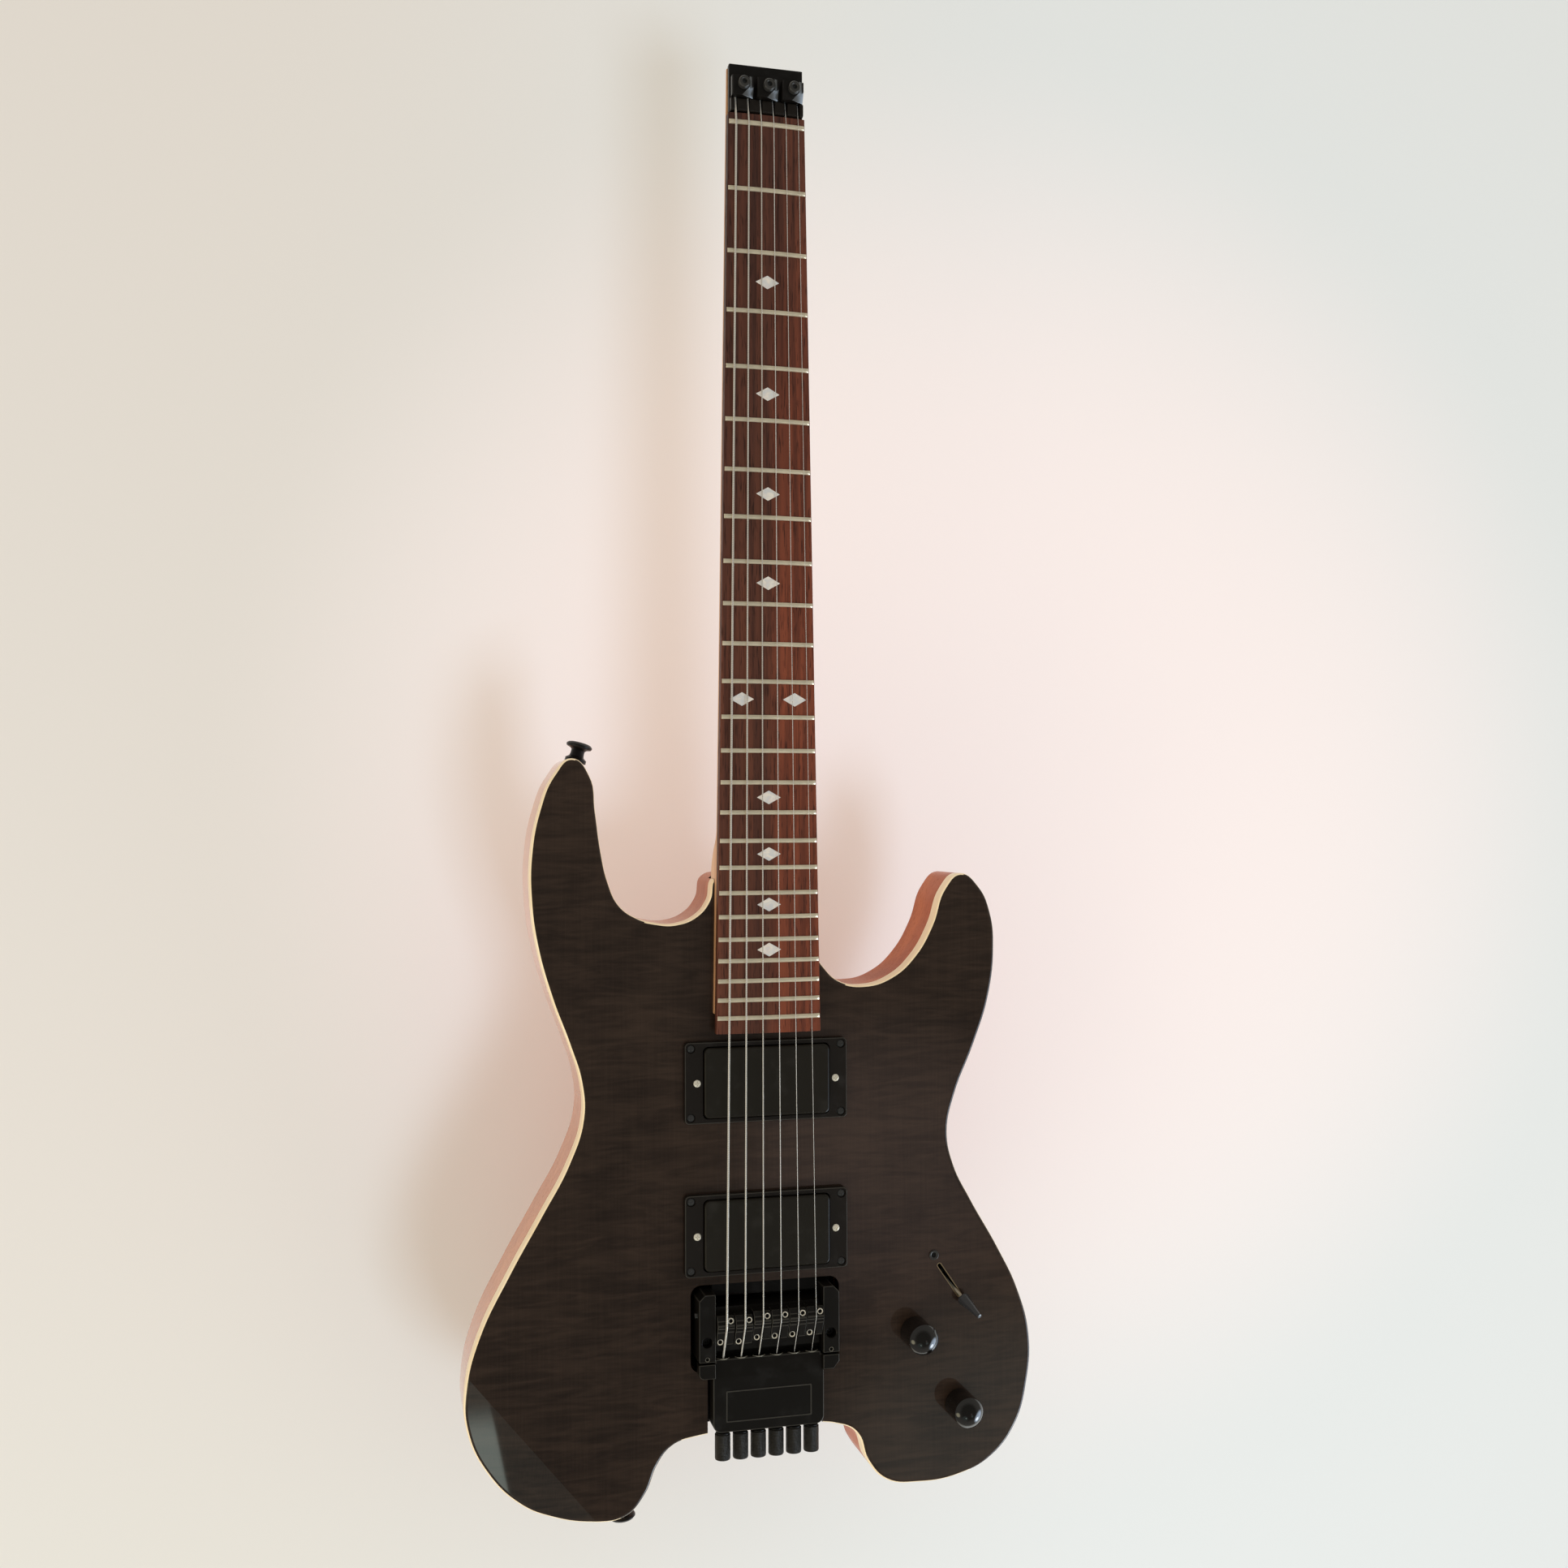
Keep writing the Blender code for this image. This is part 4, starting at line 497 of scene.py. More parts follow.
def modified(piece, kind, **settings):
    hold(piece)
    modifier = piece.modifiers.new(kind.lower(), kind)
    for key, value in settings.items():
        setattr(modifier, key, value)
    bpy.ops.object.modifier_apply(modifier=modifier.name)
    return piece


def soften(piece, width, segments=2, angle=35, edge_slot=-1):
    """Round the sharper edges; their new faces can take the finish of another slot."""
    return modified(piece, "BEVEL", width=width, segments=segments, limit_method="ANGLE",
                    angle_limit=radians(angle), use_clamp_overlap=True, material=edge_slot)


def carve(piece, *cutters):
    for cutter in cutters:
        modified(piece, "BOOLEAN", operation="DIFFERENCE", solver="EXACT", object=cutter)
        bpy.data.objects.remove(cutter)
    return piece


def weld(piece, *others):
    for other in others:
        modified(piece, "BOOLEAN", operation="UNION", solver="EXACT", object=other)
        bpy.data.objects.remove(other)
    return piece


def block(name, low, high):
    leave_all()
    low, high = Vector(low), Vector(high)
    bpy.ops.mesh.primitive_cube_add(size=1, location=(low + high) / 2)
    bpy.context.object.scale = high - low
    return fresh(name)


def rod(name, start, end, radius, sides=32, end_radius=None):
    leave_all()
    start, end = Vector(start), Vector(end)
    axis = end - start
    bpy.ops.mesh.primitive_cone_add(
        vertices=sides, radius1=radius, radius2=radius if end_radius is None else end_radius,
        depth=axis.length, location=(start + end) / 2,
        rotation=axis.to_track_quat("Z", "Y").to_euler())
    return fresh(name)


def plate(name, outline, bottom, top, facing=None):
    """A flat outline set out on a circle's points and extruded, then turned to face its way."""
    leave_all()
    bpy.ops.mesh.primitive_circle_add(vertices=len(outline), radius=0.01, fill_type="NGON")
    piece = fresh(name)
    for corner, (x, y) in zip(piece.data.vertices, outline):
        corner.co = (x, y, bottom)
    with shaping(piece):
        bpy.ops.mesh.extrude_region_move(
            TRANSFORM_OT_translate={"value": (0, 0, top - bottom)})
        bpy.ops.mesh.select_all(action="SELECT")
        bpy.ops.mesh.normals_make_consistent(inside=False)
    if facing is not None:
        piece.matrix_world = facing
        settle(piece)
    return piece


def turned(name, profile, place, axis=(0, 0, 1), sides=48):
    """A disc drawn out ring by ring: the profile lists (radius, height) from its first face."""
    leave_all()
    radius, height = profile[0]
    bpy.ops.mesh.primitive_circle_add(vertices=sides, radius=radius, fill_type="NGON",
                                      location=(0, 0, height))
    piece = fresh(name)
    with shaping(piece):
        for next_radius, next_height in profile[1:]:
            bpy.ops.mesh.extrude_region_move(
                TRANSFORM_OT_translate={"value": (0, 0, next_height - height)})
            ratio = next_radius / radius
            bpy.ops.transform.resize(value=(ratio, ratio, 1),
                                     center_override=(0, 0, next_height))
            radius, height = next_radius, next_height
        bpy.ops.mesh.select_all(action="SELECT")
        bpy.ops.mesh.normals_make_consistent(inside=False)
    piece.rotation_mode = "QUATERNION"
    piece.rotation_quaternion = Vector(axis).to_track_quat("Z", "Y")
    piece.location = place
    return settle(piece)


def lofted(name, rings):
    """A grid wrapped through rings of points, joined at its seam and closed at both ends."""
    leave_all()
    across = len(rings[0])
    bpy.ops.mesh.primitive_grid_add(x_subdivisions=across, y_subdivisions=len(rings) - 1)
    piece = fresh(name)
    for row, ring in enumerate(rings):
        for column in range(across + 1):
            piece.data.vertices[row * (across + 1) + column].co = ring[column % across]
    with shaping(piece):
        bpy.ops.mesh.remove_doubles(threshold=0.0000002)
        bpy.ops.mesh.fill_holes(sides=0)
        bpy.ops.mesh.select_all(action="SELECT")
        bpy.ops.mesh.normals_make_consistent(inside=False)
    return piece


def copy_of(piece, name, shift=(0, 0, 0), facing=None):
    hold(piece)
    bpy.ops.object.duplicate()
    twin = bpy.context.object
    twin.name = name
    if facing is not None:
        twin.matrix_world = facing
        settle(twin)
    twin.location = shift
    return settle(twin)


def finish(piece, paint, body, stands_for=(), smooth=32):
    """Clean shading with flat faces kept flat, a finish, and the body it moves with; a piece given
    more than one body is only baked in place.
    """
    with shaping(piece):
        bpy.ops.mesh.remove_doubles(threshold=0.0000002)
        bpy.ops.mesh.normals_make_consistent(inside=False)
    hold(piece)
    bpy.ops.object.shade_smooth_by_angle(angle=radians(smooth))
    modified(piece, "WEIGHTED_NORMAL", mode="FACE_AREA", weight=60, keep_sharp=True)
    if not [m for m in piece.data.materials if m]:
        piece.data.materials.clear()
        piece.data.materials.append(paint)
    if isinstance(body, str):
        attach(piece, body)
    else:
        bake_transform(piece)
    if stands_for:
        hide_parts(*stands_for)
    return piece


def curved_outline(points_mm, resolution):
    """Points along a smooth closed curve drawn through the given ones."""
    curve = bpy.data.curves.new("outline", "CURVE")
    curve.dimensions = "2D"
    curve.fill_mode = "NONE"
    curve.resolution_u = resolution
    spline = curve.splines.new("BEZIER")
    spline.bezier_points.add(len(points_mm) - 1)
    for point, (x, y) in zip(spline.bezier_points, points_mm):
        point.co = (x / 1000, y / 1000, 0)
        point.handle_left_type = "AUTO"
        point.handle_right_type = "AUTO"
    spline.use_cyclic_u = True
    drawn = bpy.data.objects.new("outline", curve)
    bpy.context.scene.collection.objects.link(drawn)
    hold(drawn)
    bpy.ops.object.convert(target="MESH")
    drawn = bpy.context.object
    points = [(v.co.x, v.co.y) for v in drawn.data.vertices]
    bpy.data.objects.remove(drawn)
    return points


def rounded_rectangle(x_range, y_range, radius, steps=6):
    points = []
    for x_side, y_side, quarter in ((1, 1, 0), (0, 1, 1), (0, 0, 2), (1, 0, 3)):
        x = x_range[x_side] + (radius if x_side == 0 else -radius)
        y = y_range[y_side] + (radius if y_side == 0 else -radius)
        for step in range(steps + 1):
            angle = (quarter + step / steps) * pi / 2
            points.append((x + radius * cos(angle), y + radius * sin(angle)))
    return points


def grown(points_mm, distance):
    middle = Vector((sum(p[0] for p in points_mm), sum(p[1] for p in points_mm)))
    middle /= len(points_mm)
    moved = []
    for point in points_mm:
        arm = Vector(point) - middle
        moved.append(tuple(Vector(point) + arm.normalized() * distance))
    return moved


# Screws, each modelled once and copied

def cross_screw(name, radius, height=0.0009):
    """A domed head with a cross recess, its seat at the origin."""
    head = turned(name, [
        (radius * 0.92, 0), (radius, height * 0.3), (radius * 0.86, height * 0.7),
        (radius * 0.5, height * 0.95), (radius * 0.2, height)], (0, 0, 0), sides=32)
    arm, wide = radius * 0.62, radius * 0.13
    return carve(head, block("slot_x", (-arm, -wide, height * 0.45), (arm, wide, 0.01)),
                 block("slot_y", (-wide, -arm, height * 0.45), (wide, arm, 0.01)))


def cup_screw(name, outer, hole, depth, metal_paint):
    """A set screw seen as a rim round a socket painted dark as shade, with its rim at the origin.
    """
    cup = turned(name, [
        (outer * 0.92, -depth), (outer, -0.0002), (outer, 0), (outer * 0.93, 0.00014),
        ((outer + hole) / 2, 0.00014), (hole * 1.12, -0.0001), (hole, -0.0003),
        (hole * 0.94, 0.0002 - depth)], (0, 0, 0), sides=32)
    cup.data.materials.append(metal_paint)
    # The socket's inside takes the painted shade.
    cup.data.materials.append(SHADE_BLACK)
    with shaping(cup):
        pick_faces(cup, lambda at, out: at.xy.length < hole * 0.99 and out.z > -0.5)
        cup.active_material_index = 1
        bpy.ops.object.material_slot_assign()
    return cup


# Body

def body_cuts():
    """The cuts that the mahogany and the maple cap share."""
    far, near = 0.278, 0.1637
    wide_far, wide_near = board_half(far) + 0.0003, board_half(near) + 0.0003
    cuts = [plate("pocket", [(-wide_near, near), (wide_near, near), (wide_far, far),
                             (-wide_far, far)], 0.0263, 0.047)]
    for y in PICKUP_PLACES.values():
        cuts.append(plate("rout", rounded_rectangle((-0.036, 0.036), (y - 0.02005, y + 0.02005),
                                                    0.003), 0.018, 0.047))
        cuts.append(block("legs", (-0.0427, y - 0.0077, 0.0183), (0.0427, y + 0.0077, 0.052)))
    step = 0.0295
    rim = rounded_rectangle((-0.0415, 0.0415), (-0.0286, 0.018), 0.0055)
    corner = len(rim) // 4
    recess = rim[:corner] + [(step, 0.018), (step, 0.0113), (-step, 0.0113),
                             (-step, 0.018)] + rim[corner:]
    cuts.append(plate("recess", recess, 0.024, 0.047))
    cuts.append(block("step", (-step - 0.0003, 0.011, 0.040), (step + 0.0003, 0.018, 0.052)))
    cuts.append(block("channel", (-0.0322, -0.09, 0.0237), (0.0322, -0.0186, 0.052)))
    # Rout walls take this black: their black paint, deepened as painted shade.
    for cut in cuts:
        cut.data.materials.append(SHADE_BLACK)
    return cuts


def carve_painted(piece, *cutters):
    """Carve with cutters that leave their own finish on the walls they cut."""
    for cutter in cutters:
        modified(piece, "BOOLEAN", operation="DIFFERENCE", solver="EXACT",
                 material_mode="TRANSFER", object=cutter)
        bpy.data.objects.remove(cutter)


def selector_placing():
    turn = Matrix.Rotation(radians(SELECTOR_DIRECTION), 4, "Z")
    return Matrix.Translation((*SELECTOR_PLACE, 0)) @ turn


def make_body():
    outline = curved_outline(BODY_OUTLINE_MM, 7)
    back = plate("mahogany_body", outline, 0.0, BACK_TOP)
    back.data.materials.append(MAHOGANY)
    round_edges(back, 0.003, lambda at, run, fold: at.z < 0.0001 and fold > 40, 5)
    carve_painted(back, *body_cuts())
    cavity = plate("cavity", curved_outline(CAVITY_OUTLINE_MM, 5), -0.005, 0.038)
    ledge = plate("ledge", curved_outline(grown(CAVITY_OUTLINE_MM, 4.8), 5), -0.0025, 0.0028)
    x, y, z = JACK_PLACE
    hole = rod("jack_hole", (x - 0.039, y, z), (x + 0.02, y, z), 0.0058)
    seat = rod("jack_seat", (x - 0.0021, y, z), (x + 0.03, y, z), 0.0088, 40)
    for cut in (cavity, hole):
        cut.data.materials.append(SHADE_BLACK)
    for cut in (ledge, seat):
        cut.data.materials.append(MAHOGANY)
    carve_painted(back, cavity, ledge, hole, seat)
    for base, direction in STRAP_BUTTONS.values():
        floor = Vector(base) - Vector(direction).normalized() * 0.0009
        carve(back, rod("seat", floor, floor + Vector(direction) * 0.02, 0.0061, 32))
    for place in NECK_SCREWS:
        carve(back, rod("ferrule_seat", (*place, -0.002), (*place, 0.0012), 0.0066, 36))
    finish(back, MAHOGANY, "guitar", ["body_back"])
    make_cap(outline)


def make_cap(outline):
    """The figured top, its arm bevel, and its rounded rim left unstained."""
    cap = plate("flamed_maple_cap", outline, CAP_BOTTOM, BODY_TOP)
    cap.data.materials.append(STAIN)
    cap.data.materials.append(CREAM)
    start, end = Vector((-0.160, -0.0198, 0)), Vector((-0.092, -0.102, 0))
    along = (end - start).normalized()
    outward = Vector((along.y, -along.x, 0))
    if outward.x > 0:
        outward = -outward
    tilt = radians(11)
    with shaping(cap):
        bpy.ops.mesh.bisect(plane_co=start + Vector((0, 0, BODY_TOP)),
                            plane_no=Vector((0, 0, cos(tilt))) + outward * sin(tilt),
                            use_fill=True, clear_outer=True)
    round_edges(cap, 0.0021, lambda at, run, fold: at.z > 0.0345 and fold > 60, 5)
    with shaping(cap):
        pick_faces(cap, lambda at, out: -0.5 < out.z < (0.5 if out.x > 0.2 else 0.75))
        cap.active_material_index = 1
        bpy.ops.object.material_slot_assign()
    carve_painted(cap, *body_cuts())
    holes = [rod("pot_hole", (x, y, 0.028), (x, y, 0.047), 0.0043, 32)
             for x, y in POT_PLACES.values()]
    half = 0.0118
    slot = plate("selector_slot", rounded_rectangle((-half, half), (-0.0015, 0.0015), 0.00145),
                 0.028, 0.047, selector_placing())
    for cut in holes + [slot]:
        cut.data.materials.append(SHADE_BLACK)
    carve_painted(cap, *holes, slot)
    with shaping(cap):
        pick_edges(cap, lambda at, run, fold: 9.5 < fold < 13 and abs(run.dot(along)) > 0.99)
        bpy.ops.mesh.mark_sharp()
    finish(cap, STAIN, "guitar", ["maple_top"], smooth=28)


NECK_SCREWS = ((-0.016, 0.176), (0.016, 0.176), (-0.016, 0.206), (0.016, 0.206))


# Neck and board

def neck_ring(y, depth, squareness, steps=36):
    ring = []
    for i in range(steps + 1):
        angle = pi * i / steps
        across = abs(cos(angle)) ** (2 / squareness)
        down = abs(sin(angle)) ** (2 / squareness)
        side = 1 if cos(angle) >= 0 else -1
        ring.append((board_half(y) * across * side, y, 0.046 - depth * down))
    return ring


def make_neck():
    rings = []
    for i in range(15):
        share = i / 14
        y = 0.6793 + (0.262 - 0.6793) * share
        rings.append(neck_ring(y, 0.0138 + 0.0022 * share, 2.2))
    for i in range(1, 11):
        share = i / 10
        ease = share * share * (3 - 2 * share)
        rings.append(neck_ring(0.262 - 0.024 * share, 0.0160 + 0.0034 * ease, 2.2 + 8 * ease))
    rings.append(neck_ring(0.200, 0.0194, 10.2))
    rings.append(neck_ring(0.164, 0.0194, 10.2))
    neck = lofted("maple_neck", rings)
    carve(neck, block("truss_groove", (-0.0033, 0.1757, 0.0364), (0.0033, 0.6383, 0.051)))
    finish(neck, NECK_WOOD, "guitar", ["neck"])


def board_ring(y, steps=18):
    half = board_half(y)
    ring = [(-half, y, BOARD_BOTTOM), (half, y, BOARD_BOTTOM)]
    for i in range(steps + 1):
        x = half - 2 * half * i / steps
        ring.append((x, y, BOARD_TOP - crown_drop(x)))
    return ring


def fret_ring(x, half, width, height, slant):
    """A mushroom section: a rounded crown over a narrow tang."""
    ring = []
    for step in range(9):
        angle = pi * step / 8
        lift = 0.0002 + (height - 0.0002) * sin(angle) * slant
        ring.append((x, -width / 2 * cos(angle), lift))
    ring += [(x, width / 2, -0.00002), (x, 0.00025, -0.00002), (x, 0.00025, -0.0012),
             (x, -0.00025, -0.0012), (x, -0.00025, -0.00002), (x, -width / 2, -0.00002)]
    return ring


def make_fret_blank(name, width, height):
    """One fret of unit half width, with ends filed to a slant."""
    rings = []
    for x, slant in ((-1, 0.25), (-0.975, 0.75), (-0.93, 1), (-0.7, 1), (-0.45, 1), (-0.2, 1),
                     (0, 1), (0.2, 1), (0.45, 1), (0.7, 1), (0.93, 1), (0.975, 0.75),
                     (1, 0.25)):
        rings.append(fret_ring(x, 1, width, height, slant))
    return lofted(name, rings)


def lay_fret(blank, name, number):
    """Stretch a copy of the blank to the board's width and press it to the crown."""
    fret = copy_of(blank, name)
    y = fret_y(number)
    half = board_half(y) - 0.0005
    for point in fret.data.vertices:
        x = point.co.x * half
        point.co = (x, y + point.co.y, BOARD_TOP - crown_drop(x) + point.co.z)
    return fret


def lay_diamond(name, middle_x, middle_y):
    """A thin diamond whose top follows the board's crown."""
    long_half, short_half = 0.0066, 0.0037
    rings = []
    for share in (-0.995, -0.75, -0.5, -0.25, 0, 0.25, 0.5, 0.75, 0.995):
        x = middle_x + share * long_half
        y = (1 - abs(share)) * short_half
        top = BOARD_TOP - crown_drop(x) + 0.00004
        rings.append([(x, middle_y - y, top), (x, middle_y + y, top),
                      (x, middle_y + y, top - 0.0012), (x, middle_y - y, top - 0.0012)])
    return finish(lofted(name, rings), PEARL, "guitar")


def make_board():
    stations = [0.6532 + (0.1535 - 0.6532) * i / 12 for i in range(13)]
    board = lofted("rosewood_board", [board_ring(y) for y in stations])
    soften(board, 0.0004, 2, 50)
    finish(board, ROSEWOOD, "guitar", ["fretboard"])
    blank = make_fret_blank("fret_blank", 0.0024, 0.0011)
    for number in range(1, FRET_COUNT + 1):
        finish(lay_fret(blank, "fret_%d" % number, number), FRET_METAL, "guitar")
    bpy.data.objects.remove(blank)
    blank = make_fret_blank("zero_fret_blank", 0.0026, 0.0012)
    finish(lay_fret(blank, "zero_fret_crown", 0), FRET_METAL, "guitar", ["zero_fret"])
    bpy.data.objects.remove(blank)
    for number in INLAY_FRETS:
        y = (fret_y(number) + fret_y(number - 1)) / 2
        for side in ((-0.0147, 0.0147) if number == 12 else (0.0,)):
            label = "inlay_%d%s" % (number, "" if side == 0 else "_bass" if side < 0 else "_treble")
            lay_diamond(label, side, y)


# Headpiece

def make_headpiece():
    head = block("headpiece_plate", (-0.0207, 0.6535, 0.0463), (0.0207, 0.6805, 0.0504))
    soften(head, 0.0006, 3)
    clamp_x = (-0.014, 0.0, 0.014)
    screw_y = 0.6612 + 0.0108 * 0.565
    carve(head, *[rod("thread", (x, screw_y, 0.044), (x, screw_y, 0.053), 0.0023)
                  for x in clamp_x])
    finish(head, BLACK_METAL, "guitar", ["headpiece"])
    comb = block("string_comb", (-0.0203, 0.6538, 0.0500), (0.0203, 0.6609, 0.0536))
    round_edges(comb, 0.0012, lambda at, run, fold: at.z > 0.0535 and abs(run.x) > 0.9, 3)
    carve(comb, *[block("slot", (nut_x(i) - 0.0009, 0.65, 0.0501),
                        (nut_x(i) + 0.0009, 0.665, 0.056)) for i in range(6)])
    soften(comb, 0.00025, 2, 50)
    finish(comb, BLACK_PLASTIC, "guitar")
    for number, x in enumerate(clamp_x, 1):
        clamp = make_clamp(x, screw_y)
        clamp.name = "clamp_plate_%d" % number
        finish(clamp, BLACK_METAL, "string_clamp_%d" % number,
               ["clamp_block_%d" % number])
        screw = turned("clamp_screw_head_%d" % number, [
            (0.0020, 0.0466), (0.0020, 0.05666), (0.0031, 0.05666), (0.0032, 0.0568),
            (0.0032, 0.0594), (0.0028, 0.05996), (0.0018, 0.05996), (0.0016, 0.0598)],
            (x, screw_y, 0), sides=40)
        carve(screw, rod("socket", (x, screw_y, 0.0578), (x, screw_y, 0.07), 0.00145, 6))
        finish(screw, DARK_SCREW, "clamp_turner_%d" % number,
               ["clamp_screw_%d" % number])


def make_clamp(x, screw_y):
    """A clamp plate with a hollowed slope on its treble side and its front corner cut."""
    left, right = x - 0.0061, x + 0.0061
    bottom, top = 0.05216, 0.05636
    slope = []
    for i in range(9):
        angle = pi / 2 * i / 8
        slope.append((right - 0.0026 * sin(angle), top - 0.0012 * cos(angle)
                      - 0.0001 * sin(2 * angle)))
    outline = [(left, bottom), (right, bottom)] + slope + [
        (left + 0.0008, top), (left, top - 0.0008)]
    clamp = plate("clamp", outline, -0.6720, -0.6612, ALONG_Y)
    clamp.data.materials.append(BLACK_METAL)
    clamp.data.materials.append(SLOPE_HIGHLIGHT)
    with shaping(clamp):
        bpy.ops.mesh.bisect(plane_co=(x + 0.0030, 0.6655, top), plane_no=(0.47, -0.40, 0.79),
                            use_fill=True, clear_outer=True)
        # The slope's faces take the pale metal, a painted highlight.
        pick_faces(clamp, lambda at, out: at.x > x + 0.001 and out.x > 0.15 and out.z > 0.1)
        clamp.active_material_index = 1
        bpy.ops.object.material_slot_assign()
    carve(clamp, rod("hole", (x, screw_y, 0.05), (x, screw_y, 0.06), 0.0023))
    return soften(clamp, 0.0003, 2, 40)


# Pickups

def make_pickups():
    ring_screw = cross_screw("ring_screw", 0.0020, 0.0006)
    height_screw = cross_screw("height_screw", 0.0020, 0.0010)
    for name, y in PICKUP_PLACES.items():
        half_long, half_wide = 0.04525, 0.0218
        ring = plate(name + "_surround",
                     rounded_rectangle((-half_long, half_long), (y - half_wide, y + half_wide),
                                       0.0024, 8), 0.0423, 0.0463)
        with_edges(ring, BLACK_PLASTIC)
        round_edges(ring, 0.0005, lambda at, run, fold: at.z > 0.0462 and fold > 40, 2, 1)
        carve(ring, plate("opening", rounded_rectangle((-0.0354, 0.0354),
                                                       (y - 0.01945, y + 0.01945), 0.003, 8),
                          0.037, 0.051))
        sunk = [(sx * 0.0419, y + sy * 0.0185) for sx in (-1, 1) for sy in (-1, 1)]
        carve(ring, *[rod("countersink", (px, py, 0.0451), (px, py, 0.0464), 0.0021, 28, 0.0025)
                      for px, py in sunk])
        finish(ring, BLACK_PLASTIC, "guitar", [name + "_ring"])
        for number, (px, py) in enumerate(sunk, 1):
            screw = copy_of(ring_screw, "%s_ring_screw_%d" % (name, number),
                            (px, py, 0.04515))
            finish(screw, DARK_SCREW, "guitar")
        for number, px in enumerate((-0.0386, 0.0386), 1):
            screw = copy_of(height_screw, "%s_height_screw_%d" % (name, number),
                            (px, y, 0.0463))
            finish(screw, NICKEL, "guitar")
        cover = plate(name + "_cover",
                      rounded_rectangle((-0.0348, 0.0348), (y - 0.01885, y + 0.01885),
                                        0.003, 10), 0.028, 0.0485)
        round_edges(cover, 0.0012, lambda at, run, fold: at.z > 0.0484 and fold > 40, 4)
        weld(cover, block("legs", (-0.0415, y - 0.0065, 0.0295), (0.0415, y + 0.0065, 0.0319)))
        finish(cover, COVER_PLASTIC, name + "_unit", [name])
    for screw in (ring_screw, height_screw):
        bpy.data.objects.remove(screw)


# Bridge

def make_bridge_frame():
    outline = [
        (-0.0388, -0.0204), (0.0388, -0.0204), (0.0388, 0.0121), (0.0356, 0.0153),
        (0.0298, 0.0153), (0.0298, 0.0105), (-0.0298, 0.0105), (-0.0298, 0.0153),
        (-0.0356, 0.0153), (-0.0388, 0.0121),
    ]
    rails = plate("bridge_rails", outline, 0.0243, 0.0520)
    channel = [
        (0.0205, 0.062), (-0.0304, 0.062), (-0.0304, 0.0283), (-0.0150, 0.0283),
        (-0.0150, 0.0343), (-0.0125, 0.0343), (-0.0125, 0.0283), (0.0205, 0.0283),
    ]
    carve(rails, plate("channel", channel, -0.0298, 0.0298, ALONG_X))
    with_edges(rails, BRIDGE_BLACK)
    soften(rails, 0.0004, 2, 40, edge_slot=1)
    for side in (-1, 1):
        x = side * 0.0343
        carve(rails,
              rod("deep_hole", (x, -0.0100, 0.046), (x, -0.0100, 0.06), 0.0028, 40),
              rod("deep_rim", (x, -0.0100, 0.0517), (x, -0.0100, 0.0524), 0.0028, 40, 0.0036),
              rod("small_hole", (x, -0.01875, 0.0500), (x, -0.01875, 0.06), 0.00135, 24),
              rod("pin_hole", (side * 0.0278, 0.0026, 0.0438),
                  (side * 0.0408, 0.0026, 0.0438), 0.0017, 24))
    finish(rails, BRIDGE_BLACK, "guitar", ["bridge_frame"])
    screw = cup_screw("rail_screw", 0.00125, 0.0009, 0.0012, WEAR_AND_HIGHLIGHT_EDGE)
    for side, label in ((-1, "bass"), (1, "treble")):
        copy = copy_of(screw, "rail_screw_" + label, (side * 0.0343, -0.01875, 0.05185))
        finish(copy, WEAR_AND_HIGHLIGHT_EDGE, "guitar")
        anchor = turned("rail_anchor_" + label, [
            (0.0026, 0.0461), (0.0026, 0.0472), (0.0022, 0.0475), (0.0012, 0.0475),
            (0.0011, 0.0466)], (side * 0.0343, -0.0100, 0), sides=32)
        finish(anchor, BRIDGE_BLACK, "guitar")
    bpy.data.objects.remove(screw)


